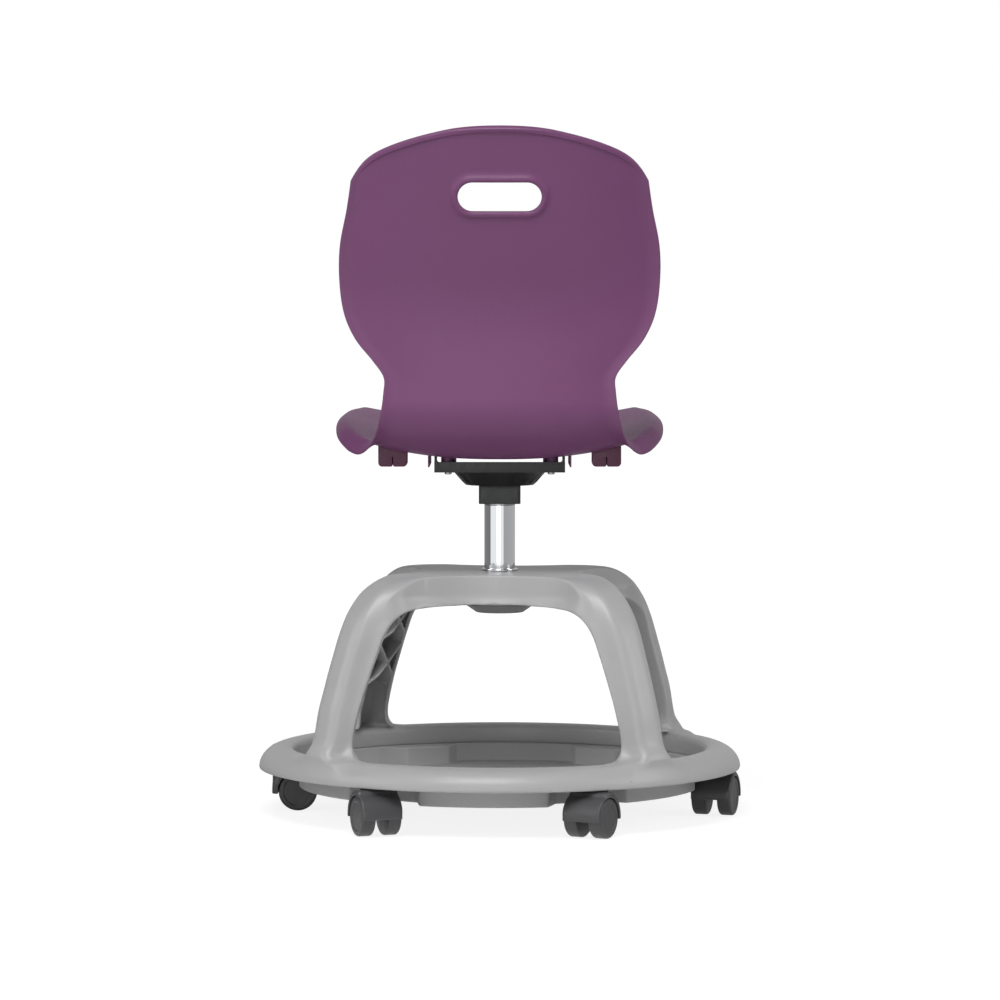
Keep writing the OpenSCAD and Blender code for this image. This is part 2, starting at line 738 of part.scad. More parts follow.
module caster_wheel(n, side) {
    r = axle_z;
    color(caster_grey) at_caster(n) translate([caster_trail, side * (web_half_w + wheel_gap), axle_z])
        rotate([-90 * side, 0, 0]) rotate_extrude() polygon([
            [axle_r + run_gap, 0], [r - 3, 0], [r - 0.9, 0.9], [r, 3], [r, wheel_w - 5],
            [r - 1.5, wheel_w - 1.5], [r - 5, wheel_w], [r - 6, wheel_w], [r - 7.5, wheel_w - 1],
            [0, wheel_w - 1], [0, wheel_w - 2.5], [axle_r + run_gap, wheel_w - 2.5]
        ]);
}

base_frame();
tray_floor();
tray_walls();
tray_pockets();
tray_rim();
tray_screws();
column_tube();
column_collar();
column_nut();
hub_cap();
upper_bush();
lower_bush();
thrust_washer();
caster_sockets();
spindle();
spindle_washer();
spindle_circlip();
spindle_nut();
socket_block();
carrier_dish();
dish_screws();
seat_plate();
seat_inserts();
seat_screws();
seat_shell();
for (n = [0 : 5]) {
    caster_hood(n);
    caster_stem(n);
    caster_axle(n);
    caster_wheel(n, 1);
    caster_wheel(n, -1);
}
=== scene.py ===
# Looks of a swivel chair: purple one-piece shell, chromed column, grey arched base with a floor ring.
# Metres, +Z up, front towards -Y. The sizes below are in millimetres and the turns in degrees. Nearly all of
# them repeat the solids' own values, and the comments say where the looks differ.
import bmesh
import bpy
import json
from math import asin, atan2, copysign, cos, pi, radians, sin, sqrt, tan
import numpy as np
from mathutils import Matrix, Vector


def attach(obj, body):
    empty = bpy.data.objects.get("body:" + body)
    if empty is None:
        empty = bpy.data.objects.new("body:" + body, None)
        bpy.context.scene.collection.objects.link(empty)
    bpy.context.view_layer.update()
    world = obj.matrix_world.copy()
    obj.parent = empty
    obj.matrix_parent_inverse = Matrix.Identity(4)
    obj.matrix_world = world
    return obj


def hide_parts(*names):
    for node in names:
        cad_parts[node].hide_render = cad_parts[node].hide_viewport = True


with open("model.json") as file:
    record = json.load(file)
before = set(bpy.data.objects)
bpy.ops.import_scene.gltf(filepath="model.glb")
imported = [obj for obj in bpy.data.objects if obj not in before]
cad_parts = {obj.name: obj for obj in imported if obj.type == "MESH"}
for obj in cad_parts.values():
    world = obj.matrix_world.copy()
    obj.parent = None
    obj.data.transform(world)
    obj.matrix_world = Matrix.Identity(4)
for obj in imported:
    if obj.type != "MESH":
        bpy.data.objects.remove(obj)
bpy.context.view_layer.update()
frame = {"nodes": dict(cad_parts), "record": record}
MM = 0.001

# Shell: middle line from the front edge to the top as [length, turn] arcs, and what changes along it
SHELL_FRONT = (-231.0, 479.0, 93.0)
SHELL_PROFILE = [[43, -106], [149, 6], [149, 4], [118, 98], [62, -2], [90, -16], [186, 0], [10, -45]]
SHELL_END, SHELL_T = 806.5, 5.0
HALF_WIDTHS = [
    [0, 184], [43, 199], [110, 209], [210, 213], [280, 209], [325, 195], [354, 179],
    [392, 162], [430, 152], [470, 146.5], [488, 146.5], [508, 160], [535, 182],
    [565, 196], [605, 202], [650, 201], [700, 191.5], [750, 184.5], [809, 179]]
SIDE_RISES = [
    [0, 8], [43, 20], [110, 34], [210, 43], [280, 40], [340, 27], [400, 16],
    [480, 12], [560, 18], [640, 22], [740, 20], [809, 16]]
EDGE_ROLLS = [[0, 6], [43, 13], [110, 15], [210, 17], [340, 21], [385, 12], [430, 5], [480, 4], [809, 4]]
ROLL_W = 20.0
FRONT_CORNER_CUT, TOP_ARCH_DROP, TOP_CORNER_DROP = 36.0, 49.0, 24.0
# The front arc's run in plan, and how much longer the seat is behind it than its plan
FRONT_ARC_RUN, SEAT_STRETCH = 28.4, 1.007
# A thin lip thickens the rear of the top edge, which the solids leave out
LIP_LEN, LIP_T = 6.0, 2.2
SLOT_W, SLOT_H, SLOT_S, SLOT_MARGIN = 105.0, 37.0, 716.5, 20.0
# Section of the slot's collar: distance from the opening and height off the middle surface, rear to front
SLOT_SECTION = [
    [16, -2.5], [13, -2.55], [10.5, -2.9], [8.5, -3.8], [7, -4.9], [5.5, -5.7], [4, -6.0], [2.4, -5.9],
    [1.2, -5.4], [0.4, -4.5], [0, -3.3], [0, -1.6], [0, 0], [0, 1.0], [0.5, 1.9], [1.3, 2.35], [2.5, 2.5],
    [6, 2.5], [11, 2.5], [16, 2.5]]
SHELL_COLS, SHELL_ROWS, LIP_ROWS, LIP_SHARE, RIM_STEPS = 112, 300, 30, 0.98, 8
CLIP_IN_X, CLIP_OUT_X, CLIP_LOW_Z, CLIP_Y = 118.0, 155.0, 452.0, (52.0, 96.0)
CLIP_SLIT, CLIP_BRIDGE_Z = 0.9, 464.0
SHELL_RIB_X, SHELL_RIB_T, SHELL_RIB_LOW_Z, SHELL_RIB_Y = 90.7, 2.0, 451.0, (90, 40, -10, -60)
BOSS_R, BOSS_BORE_R = 9.0, 4.2

# The plate sits a little higher and is a little narrower than its solid, with a lower front lip
PLATE_RISE, PLATE_TRIM, PLATE_SIDE_X, DISH_RIM_Z = 3.0, 4.0, 75.0, 436.0
PLATE_FRONT_Y, PLATE_FRONT_Z = 80.0, 451.0
PLATE_LOW_Z, PLATE_TOP_Z = 441.5 + PLATE_RISE, 444.5 + PLATE_RISE
BOLT_X, BOLT_Y = 66.0, 78.0

# Base: paths of [distance from the middle, height]. The legs' corners are up to 4 mm fuller than the solid's
BASE_YAW = -4.5
TOP_Z, LOW_Z, FLAT_TOP_Z = 314.0, 60.0, 311.0
WALL_T = 4.5
ARCH_OUTER = [
    [254, 60], [253, 82], [244, 86], [233, 93], [225, 103], [221, 114], [216, 146], [210.5, 170],
    [201, 209], [187, 257], [171, 287], [155, 303], [135, 311.5], [109, 314], [0, 314]]
# How far the faces are drawn in beside the arches at each height, and over what width this fades out
DRAWN_IN = [[60, 18], [91, 12], [128, 8], [218, 8], [267, 4], [300, 1], [311, 0]]
DRAWN_IN_W = 30.0
FLANGE_LOW_Z = 86.0
FLANGE_LIMIT = [[205, 50], [200, 112], [176, 205], [160, 257], [145, 290], [130, 330], [0, 330]]
ARCH_INNER = [
    [150, 50], [150, 84], [158, 87], [165, 93], [168.5, 104], [167, 122], [159, 157], [150, 187],
    [139, 221], [129, 247], [115, 264], [97, 272], [41, 275.5], [0, 276]]
CORNER_CHAMFER = 24.0
WAIST_CUT = [[0, 400], [140, 400], [140, 290], [134, 275], [124, 255], [110, 235], [0, 235]]
WAIST_CUT_Y = 245.0
FOOT_LIMIT = [[313, 50], [313, 59], [312, 66.5], [309, 75], [307, 84], [308, 95], [314, 108], [400, 120]]
RING_SKIN = [
    [267, 61], [267, 79], [270, 84.5], [276, 86.6], [284, 87], [292, 85.8],
    [301, 81.5], [308, 74.5], [312, 66.5], [313, 59]]
RING_IN_R, RING_TOP_Z, RING_LOW_Z = 267.0, 87.0, 59.0
RIB_T, RIB_SLOPE, TOP_RIB_Z, TOP_RIB_REACH = 2.6, 55.0, 277.0, 200.0
RIB_CROSSINGS = [[178, 181], [236, 162]]
RIB_REACH, RIB_IN, LEG_LEAN = 45.0, 26.0, 15.8
# Radii of the edges; below the FADE_Z heights the first two grow to their full size over the FADE lengths
EDGE_R, EDGE_FADE_Z, EDGE_FADE = 7.0, 300.0, 50.0
WAIST_EDGE_R, WAIST_FADE_Z, WAIST_FADE = 22.0, 306.0, 45.0
TOP_EDGE_R, TOP_RIM_R, ARCH_EDGE_R, FOOT_EDGE_R, ROOM_EDGE_R = 2.5, 1.5, 2.0, 8.0, 4.0
# Fillet between the legs and the ring, and how much it grows outside a radius, over a width
RING_BLEND, FOOT_BLEND, FOOT_BLEND_R, FOOT_BLEND_W = 5.0, 12.0, 282.0, 18.0
# Upright cylinders in the base: radius, lowest and highest height
HUB, HUB_FLANGE, SMALL_BLEND = (31.0, 268.0, 311.0), (45.5, 270.0, 274.0), 2.0
SOCKET_POST, SCREW_POST = (12.0, 59.0, 84.0), (6.5, 61.0, 83.0)
SOCKET_BORE_R, SOCKET_BORE_TOP_Z = 8.0, 81.0
BASE_STEP = 1.8
BASE_TRIANGLES = 196000
COLUMN_R, COLUMN_GAP = 20.0, 0.2
# Turned pieces: corners of their sections as distance from the axis, height and rounding
COLUMN_CORNERS = [(COLUMN_R, 262, 0.5), (COLUMN_R, 399.5, 1.0), (17.5, 399.5, 0.4), (17.5, 262, 0.4)]
COLLAR_CORNERS = [
    (COLUMN_R, TOP_Z, 0), (23.5, TOP_Z, 0.5), (23.5, 316.4, 1.6), (20.9, 317, 0.5), (COLUMN_R, 317, 0)]

# Tray
TRAY_R, TRAY_Z, TRAY_T, TRAY_RIM_Z, TRAY_RIM_R = 262.0, 34.5, 3.0, 58.0, 280.0
POCKET_IN_R, POCKET_IN_HALF, POCKET_OUT_HALF, POCKET_CORNER_R = 228.0, 30.0, 54.2, 4
STEM_HOLE_R, TRAY_TAB_R, TRAY_SCREW_R = 15.0, 7.0, 276.0
FLAT_SHARE = 0.96

# Casters: bearings round the base, and the way that each one's wheels trail
CASTER_R = 286.0
CASTER_BEARINGS = [60, 0, -60, -120, 180, 120]
CASTER_HEADINGS = [111.7, 180, 150, 40, 72.5, 61.4]
TRAIL, AXLE_Z, AXLE_R = 22.0, 25.0, 3.0
WHEEL_R, WHEEL_W, WHEEL_GAP, WEB_HALF, WEB_R = 25.0, 18.0, 1.0, 7.0, 9.0
HOOD_R, HOOD_TAIL_R, HOOD_IN_R, HOOD_SWING_R, HOUSING_R = 33.5, 28.5, 26.0, 55.5, 12.0
HOOD_TOP_Z, HOOD_LOW_Z, FENDER_PAST_AXLE = 57.0, 22.0, 8.0
FENDER_HALF = WEB_HALF + WHEEL_GAP + WHEEL_W
HOOD_BOX = ((-16.0, 60.0), (-30.0, 30.0), (20.0, 61.0))
HOOD_STEP = 0.8
STEM_R, STEM_LOW_Z = 5.5, 34.0
STEM_CORNERS = [
    (0, STEM_LOW_Z, 0), (STEM_R, STEM_LOW_Z, 0.5), (STEM_R, 57, 0), (8, 57, 0.4), (8, 58.8, 0.4),
    (STEM_R, 58.8, 0.3), (STEM_R, 80, 1.5), (0, 80, 0)]
AXLE_CORNERS = [(0, -23, 0), (AXLE_R, -23, 0.6), (AXLE_R, 23, 0.6), (0, 23, 0)]
# A wheel from its bore out: inner face, soft tread and a closed outer face
WHEEL_CORNERS = [
    (0, 15.5, 0), (3.1, 15.5, 0), (3.1, 0, 0.2), (WHEEL_R, 0, 3.0), (WHEEL_R, WHEEL_W, 5.0),
    (19, WHEEL_W, 0.8), (17.5, 17, 0.8), (0, 17, 0)]

# Screws: radius and height of the head, radius and length of the shank; and the cross cut into the head
TRAY_SCREW, SEAT_SCREW = (3.6, 2.2, 1.75, 16.0), (4.6, 3.0, 2.5, 11.0)
CROSS_REACH, CROSS_HALF, CROSS_DEPTH = 2.0, 0.35, 0.8

# Studio, in metres and degrees: camera, floor and lamps as place, size and share of full brightness
CAMERA_PLACE, CAMERA_DIP, CAMERA_LENS = (-0.0004, 5.3376, 0.6511), 2.6388, 148.06
FLOOR_HALF, FLOOR_Z = 30.0, -0.0002
FLOOR_LIT, FLOOR_FAINT, WORLD_LIGHT = 0.9, 0.26, 0.18
LAMP_TARGET = (0, 0, 0.35)
LAMPS = {
    "high_box": [(0.5, 2.4, 3.9), 2.0, 0.55], "low_box": [(0.6, 4.2, 0.8), 2.0, 0.09],
    "left_box": [(3.6, 1.1, 1.9), 1.6, 0.17], "right_box": [(-3.6, 1.1, 1.9), 1.6, 0.20]}
# Brightness of the studio's walls as mirrors see them, by bearing from the camera's side towards +X
WALL_TONES = [
    [-180, 0.5], [-120, 0.47], [-32, 0.42], [-26, 1.0], [68, 1.0], [76, 0.2], [135, 0.24], [180, 0.5]]

# Finishes: dark, light and rubbed tone as on a screen, lowest and highest roughness, grains per metre, bump,
# metal and wear
FINISH_TABLE = {
    "shell_plastic": [(107, 55, 100), (114, 61, 107), (148, 104, 141), 0.40, 0.52, 1500, 0.16, 0, 0.35],
    # Darker copy of the shell plastic for the clips under the seat: painted shade for the shadow there
    "shell_plastic_painted_shade": [(74, 6, 50), (82, 10, 58), (116, 56, 92), 0.40, 0.52, 1500, 0.16, 0, 0.35],
    "base_plastic": [(173, 173, 174), (180, 180, 180), (198, 198, 198), 0.34, 0.46, 1900, 0.10, 0, 0.3],
    "tray_plastic": [(176, 176, 177), (182, 182, 182), (198, 198, 198), 0.42, 0.56, 1500, 0.16, 0, 0.3],
    "cap_plastic": [(144, 144, 145), (151, 151, 152), (168, 168, 168), 0.42, 0.56, 1500, 0.16, 0, 0.3],
    "chrome": [(226, 228, 231), (232, 233, 235), (240, 240, 240), 0.04, 0.09, 400, 0.01, 1, 0.2],
    "steel": [(160, 161, 164), (176, 177, 179), (205, 205, 205), 0.26, 0.42, 2400, 0.06, 1, 0.5],
    "black_metal": [(12, 11, 12), (17, 16, 17), (56, 56, 58), 0.38, 0.5, 1100, 0.25, 0, 0.4],
    "black_plastic": [(36, 38, 39), (43, 45, 46), (78, 78, 80), 0.4, 0.55, 1700, 0.14, 0, 0.4],
    "caster_plastic": [(66, 66, 68), (74, 74, 76), (112, 112, 114), 0.36, 0.5, 1800, 0.12, 0, 0.5],
    "wheel_plastic": [(66, 66, 68), (75, 75, 77), (110, 110, 110), 0.42, 0.6, 1300, 0.2, 0, 0.6],
    "brass": [(176, 145, 82), (196, 165, 98), (222, 196, 132), 0.25, 0.4, 2200, 0.05, 1, 0.5]}
GRAIN_DEPTH, WEAR_GAIN, SCUFF_SCALE = 0.0002, 14.0, 40.0


# Finishes

def from_srgb(r, g, b):
    """Colour given as it looks on a screen, 0 to 255, in the linear values that shaders use."""
    linear = [c / 255 / 12.92 if c < 10.4 else ((c / 255 + 0.055) / 1.055) ** 2.4 for c in (r, g, b)]
    return (*linear, 1.0)


def set_inputs(node, values):
    """Sets a node's inputs to values, or joins them to outputs; a node stands for its first output."""
    for name, value in values.items():
        if isinstance(value, bpy.types.Node):
            value = value.outputs[0]
        if isinstance(value, bpy.types.NodeSocket):
            node.id_data.links.new(value, node.inputs[name])
        else:
            node.inputs[name].default_value = value


def add_node(tree, kind, values=None, **settings):
    """New node with its settings first, and then its inputs."""
    node = tree.nodes.new(kind)
    for name, value in settings.items():
        setattr(node, name, value)
    set_inputs(node, values or {})
    return node


def shader_node(tree, kind, values=None, **settings):
    return add_node(tree, "ShaderNode" + kind, values, **settings)


def worked_out(tree, operation, a, b, **settings):
    """Math node on two values."""
    return shader_node(tree, "Math", {0: a, 1: b}, operation=operation, **settings)


def noise(tree, place, scale, detail, **more):
    return shader_node(tree, "TexNoise", {"Vector": place, "Scale": scale, "Detail": detail, **more})


def new_group(name, **inputs):
    """Shader node group with a Vector and named numbers as inputs; returns it and its inputs by name."""
    tree = bpy.data.node_groups.new(name, "ShaderNodeTree")
    tree.interface.new_socket("Vector", in_out="INPUT", socket_type="NodeSocketVector")
    for label, default in inputs.items():
        socket = tree.interface.new_socket(label, in_out="INPUT", socket_type="NodeSocketFloat")
        socket.default_value = default
    return tree, tree.nodes.new("NodeGroupInput").outputs


def end_group(tree, kind="NodeSocketFloat", **outputs):
    """The group, with its named outputs joined to what gives them."""
    for label in outputs:
        tree.interface.new_socket(label, in_out="OUTPUT", socket_type=kind)
    add_node(tree, "NodeGroupOutput", outputs)
    return tree


def grain_group():
    """Fine moulded or powder grain: a height for bump, and soft patches for colour."""
    tree, given = new_group("surface_grain", Grains=1600.0, Patches=9.0)
    place = given["Vector"]
    fine = noise(tree, place, given["Grains"], 2.0, Roughness=0.55)
    pits = shader_node(tree, "TexVoronoi", {"Vector": place, "Scale": given["Grains"]})
    height = worked_out(tree, "ADD", fine, pits)
    return end_group(tree, Height=height, Patches=noise(tree, place, given["Patches"], 3.0))


def wear_group():
    """Rubbed edges: a mask that is 1 on convex edges, broken up by noise."""
    tree, given = new_group("rubbed_edges", Reach=0.0015, Amount=0.5)
    soft = shader_node(tree, "Bevel", {"Radius": given["Reach"]}, samples=4)
    true = shader_node(tree, "NewGeometry").outputs["Normal"]
    facing = shader_node(tree, "VectorMath", {0: soft, 1: true}, operation="DOT_PRODUCT")
    bend = worked_out(tree, "SUBTRACT", 1.0, facing.outputs["Value"])
    broken = worked_out(tree, "MULTIPLY", bend, noise(tree, given["Vector"], 70.0, 4.0))
    raised = worked_out(tree, "MULTIPLY", broken, WEAR_GAIN)
    return end_group(tree, Mask=worked_out(tree, "MULTIPLY", raised, given["Amount"], use_clamp=True))


def scuff_group():
    """Fine scratches and wiping marks: a mask that changes the gloss a little."""
    tree, given = new_group("fine_scuffs", Stretch=12.0)
    scale = shader_node(tree, "CombineXYZ", {"X": SCUFF_SCALE, "Y": SCUFF_SCALE, "Z": given["Stretch"]})
    squeezed = shader_node(tree, "VectorMath", {0: given["Vector"], 1: scale}, operation="MULTIPLY")
    lines = noise(tree, squeezed, 6.0, 6.0, Roughness=0.7, Distortion=0.6)
    sharp = shader_node(tree, "MapRange", {"Value": lines, "From Min": 0.45, "From Max": 0.7})
    return end_group(tree, Mask=sharp)


GRAIN, WEAR, SCUFFS = grain_group(), wear_group(), scuff_group()


def use_group(tree, group, **values):
    return shader_node(tree, "Group", values, node_tree=group)


def blend_colours(tree, share, dark, light):
    return shader_node(tree, "Mix", {0: share, 6: dark, 7: light}, data_type="RGBA").outputs[2]


def finish(name, dark, light, rubbed, smooth, rough, grain, bump, metal, wear):
    """Material of one finish: two tones in soft patches, rubbed edges, varied gloss and a fine grain."""
    material = bpy.data.materials.new(name)
    material.use_nodes = True
    tree = material.node_tree
    place = shader_node(tree, "TexCoord").outputs["Object"]
    grains = use_group(tree, GRAIN, Vector=place, Grains=grain)
    edges = use_group(tree, WEAR, Vector=place, Amount=wear)
    marks = use_group(tree, SCUFFS, Vector=place, Stretch=2.0 if metal else 12.0)
    body = blend_colours(tree, grains.outputs["Patches"], from_srgb(*dark), from_srgb(*light))
    set_inputs(tree.nodes["Principled BSDF"], {
        "Base Color": blend_colours(tree, edges, body, from_srgb(*rubbed)),
        "Roughness": shader_node(tree, "MapRange", {"Value": marks, "To Min": smooth, "To Max": rough}),
        "Normal": shader_node(tree, "Bump", {
            "Height": grains.outputs["Height"], "Strength": bump, "Distance": GRAIN_DEPTH}),
        "Metallic": metal})
    return material


FINISHES = {name: finish(name, *row) for name, row in FINISH_TABLE.items()}


# Shapes

def new_object(name, data):
    thing = bpy.data.objects.new(name, data)
    bpy.context.scene.collection.objects.link(thing)
    return thing


def new_mesh(name, points, faces, merge=True):
    """Mesh of points in metres and faces, with its doubles merged if asked and its normals outward."""
    mesh = bpy.data.meshes.new(name)
    mesh.from_pydata(points, [], faces)
    shape = bmesh.new()
    shape.from_mesh(mesh)
    if merge:
        bmesh.ops.remove_doubles(shape, verts=shape.verts, dist=1e-7)
        bmesh.ops.delete(shape, geom=[v for v in shape.verts if not v.link_faces], context="VERTS")
    bmesh.ops.recalc_face_normals(shape, faces=shape.faces)
    shape.to_mesh(mesh)
    shape.free()
    return mesh


def applied(holder):
    """Plain mesh of an object with its modifier; the object is removed."""
    graph = bpy.context.evaluated_depsgraph_get()
    mesh = bpy.data.meshes.new_from_object(holder.evaluated_get(graph))
    bpy.data.objects.remove(holder)
    return mesh


def fit_piece(name, mesh, body, slot, stands_for, sharp=35):
    """Object for a finished mesh, smooth up to the sharp angle, on a body and standing for CAD nodes."""
    for polygon in mesh.polygons:
        polygon.use_smooth = True
    mesh.set_sharp_from_angle(angle=radians(sharp))
    mesh.materials.clear()
    mesh.materials.append(FINISHES[slot])
    piece = new_object(name, mesh)
    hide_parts(*stands_for)
    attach(piece, body)
    return piece


def make_piece(name, points, faces, body, slot, stands_for, sharp=35, place=Matrix()):
    """Piece from points in metres, put in place by a matrix, and faces."""
    mesh = new_mesh(name, [place @ Vector(p) for p in points], faces)
    return fit_piece(name, mesh, body, slot, stands_for, sharp)


def rounded(corners, steps=5):
    """Closed outline of corners (x, y, radius) turned into arcs."""
    outline = []
    for i, (x, y, r) in enumerate(corners):
        here, before, after = (Vector(corners[j % len(corners)][:2]) for j in (i, i - 1, i + 1))
        if r <= 0:
            outline.append(tuple(here))
            continue
        back, on = before - here, after - here
        half = back.angle(on) / 2
        reach = min(r / tan(half), 0.49 * back.length, 0.49 * on.length)
        r = reach * tan(half)
        centre = here + (back.normalized() + on.normalized()).normalized() * r / sin(half)
        first, last = (here + d.normalized() * reach - centre for d in (back, on))
        start = atan2(first.y, first.x)
        turn = (atan2(last.y, last.x) - start + pi) % (2 * pi) - pi
        angles = [start + turn * k / steps for k in range(steps + 1)]
        outline += [(centre.x + r * cos(a), centre.y + r * sin(a)) for a in angles]
    return outline


def strips(loops):
    """Faces between closed loops of point numbers, each as long as the next."""
    n = len(loops[0])
    return [(a[k], a[(k + 1) % n], b[(k + 1) % n], b[k]) for a, b in zip(loops, loops[1:]) for k in range(n)]


def lathe(corners, segments, steps=5):
    """Points in metres and faces of corners (radius, height, rounding) turned about Z."""
    outline = rounded(corners, steps)
    turns = [2 * pi * k / segments for k in range(segments)]
    points = [(r * cos(a) * MM, r * sin(a) * MM, z * MM) for a in turns for r, z in outline]
    n = len(outline)
    loops = [range(k * n, k * n + n) for k in range(segments)]
    return points, strips(loops + loops[:1])


def inset(outline, depth):
    """Outline moved inwards by depth; the outline runs anticlockwise."""
    moved = []
    for i, here in enumerate(outline):
        before, after = Vector(outline[i - 1]), Vector(outline[(i + 1) % len(outline)])
        here = Vector(here)
        ways = [(b - a).normalized() for a, b in ((before, here), (here, after)) if (b - a).length > 1e-6]
        normals = [Vector((-w.y, w.x)) for w in ways]
        normal = sum(normals, Vector((0, 0))).normalized()
        moved.append(tuple(here + normal * depth / max(0.5, normal.dot(normals[0]))))
    return moved


def stacked(plans):
    """Points in metres, and loops of point numbers, of equally long plans at their heights."""
    points = [(x * MM, y * MM, z * MM) for plan, z in plans for x, y in plan]
    n = len(plans[0][0])
    return points, [range(j * n, j * n + n) for j in range(len(plans))]


def prism(outline, low, high, soft, steps=4):
    """Points in metres and faces of an anticlockwise outline carried from low to high, with soft rims."""
    turns = [pi / 2 * k / steps for k in range(steps + 1)]
    rings = [(soft * (1 - sin(a)), low + soft * (1 - cos(a))) for a in turns]
    rings += [(depth, low + high - z) for depth, z in reversed(rings)]
    points, loops = stacked([(inset(outline, depth), z) for depth, z in rings])
    return points, strips(loops) + [tuple(loops[0])[::-1], tuple(loops[-1])]


def softened_copy(node, name, body, slot, width):
    """Copy of a CAD node with its doubles merged, flat faces joined and its sharp edges rounded."""
    shape = bmesh.new()
    shape.from_mesh(frame["nodes"][node].data)
    bmesh.ops.remove_doubles(shape, verts=shape.verts, dist=1e-6)
    bmesh.ops.dissolve_limit(shape, angle_limit=radians(0.6), verts=shape.verts, edges=shape.edges)
    corner = radians(28)
    edges = [e for e in shape.edges if len(e.link_faces) == 2 and e.calc_face_angle(0) > corner]
    bmesh.ops.bevel(shape, geom=edges, offset=width * MM, segments=3, profile=0.5, affect="EDGES",
                    clamp_overlap=True)
    bmesh.ops.recalc_face_normals(shape, faces=shape.faces)
    mesh = bpy.data.meshes.new(name)
    shape.to_mesh(mesh)
    shape.free()
    return fit_piece(name, mesh, body, slot, (node,))


# Distance fields for moulded shapes: negative inside, in millimetres

def outline_field(outline, across, up):
    """Signed distance from a closed outline at every pair of across and up."""
    a, b = np.meshgrid(across, up, indexing="ij")
    nearest = np.full(a.shape, 1e12)
    inside = np.zeros(a.shape, bool)
    for (x0, y0), (x1, y1) in zip(outline, outline[1:] + outline[:1]):
        ex, ey = x1 - x0, y1 - y0
        t = np.clip(((a - x0) * ex + (b - y0) * ey) / max(ex * ex + ey * ey, 1e-9), 0, 1)
        nearest = np.minimum(nearest, (a - x0 - t * ex) ** 2 + (b - y0 - t * ey) ** 2)
        if y0 != y1:
            inside ^= ((y0 > b) != (y1 > b)) & (a < ex * (b - y0) / ey + x0)
    return (np.where(inside, -1, 1) * np.sqrt(nearest)).astype(np.float32)


def spread(table, reach, step):
    """A table over (reach, height) laid out in space, where reach is each place's distance."""
    place = (reach[..., None] if reach.ndim == 2 else reach) / step
    i = np.clip(place.astype(int), 0, len(table) - 2)
    share = (place - i).astype(np.float32)
    up = np.arange(table.shape[1])
    return table[i, up] * (1 - share) + table[i + 1, up] * share


def within_both(a, b, r):
    """Common part of two fields, with the edge between them rounded by r."""
    return np.minimum(-r, np.maximum(a, b)) + np.hypot(np.maximum(r + a, 0), np.maximum(r + b, 0))


def joined(a, b, r):
    """Union of two fields, with a fillet of r between them."""
    return -within_both(-a, -b, r)


def cut_from(a, b, r):
    """Field a without what lies in field b, with edges rounded by r."""
    return within_both(a, -b, r)


def upright(distance, z, radius, low, high):
    """Field of an upright cylinder, from the distance to its axis."""
    return np.maximum(distance - radius, np.abs(z - (low + high) / 2) - (high - low) / 2)


def smoothed(path, steps=4):
    """Open path turned into a smooth curve through all its points."""
    curve = []
    for i in range(len(path) - 1):
        before, a, b, after = (Vector(path[min(max(j, 0), len(path) - 1)]) for j in range(i - 1, i + 3))
        length = (b - a).length
        leave = (b - before).normalized() * length
        arrive = (after - a).normalized() * length
        for k in range(steps):
            t = k / steps
            point = (2 * t ** 3 - 3 * t ** 2 + 1) * a + (t ** 3 - 2 * t ** 2 + t) * leave
            point += (3 * t ** 2 - 2 * t ** 3) * b + (t ** 3 - t ** 2) * arrive
            curve.append(tuple(point))
    return curve + [tuple(path[-1])]


def both_sides(path):
    """Path that ends on the middle line, carried on to its mirror image, as a list of points."""
    return list(path) + [(-x, y) for x, y in reversed(path[:-1])]


def skin_of(field, low, step):
    """Points in metres and faces of the closed skin where a field passes through zero."""
    shape = np.array(field.shape)
    inside = field < 0
    cells, places, edges = [], [], []
    for axis in range(3):
        here = np.take(field, range(shape[axis] - 1), axis)
        there = np.take(field, range(1, shape[axis]), axis)
        crossing = np.argwhere((here < 0) != (there < 0))
        sides = [d for d in range(3) if d != axis]
        keep = np.all((crossing[:, sides] > 0) & (crossing[:, sides] < shape[sides] - 1), axis=1)
        crossing = crossing[keep]
        a, b = here[tuple(crossing.T)], there[tuple(crossing.T)]
        place = crossing.astype(float)
        place[:, axis] += a / (a - b)
        ring = []
        for first, second in ((0, 0), (1, 0), (1, 1), (0, 1)):
            cell = crossing.copy()
            cell[:, sides[0]] -= first
            cell[:, sides[1]] -= second
            ring.append(np.ravel_multi_index(tuple(cell.T), tuple(shape)))
        cells += ring
        places += [place] * 4
        quad = np.stack(ring, 1)
        flip = inside[tuple(crossing.T)] != (axis == 1)
        quad[flip] = quad[flip][:, ::-1]
        edges.append(quad)
    ids, which = np.unique(np.concatenate(cells), return_inverse=True)
    places = np.concatenate(places)
    count = np.bincount(which)
    points = np.stack([np.bincount(which, places[:, k]) / count for k in range(3)], 1)
    faces = np.searchsorted(ids, np.concatenate(edges))
    return (np.array(low) + points * step) * MM, faces


def field_mesh(name, field, low, step, place):
    """Mesh of a field's skin, put in place by a matrix."""
    points, faces = skin_of(field, low, step)
    points = points @ np.array(place.to_3x3()).T + np.array(place.translation)
    return new_mesh(name, points.tolist(), faces.tolist(), merge=False)


def thinned(mesh, budget):
    """Mesh of quads brought down to a budget of triangles, fewest where it is flattest."""
    share = budget / (2 * len(mesh.polygons))
    if share >= 1:
        return mesh
    holder = new_object("thinning", mesh)
    modifier = holder.modifiers.new("thin", "DECIMATE")
    modifier.ratio = share
    return applied(holder)


# Seat shell

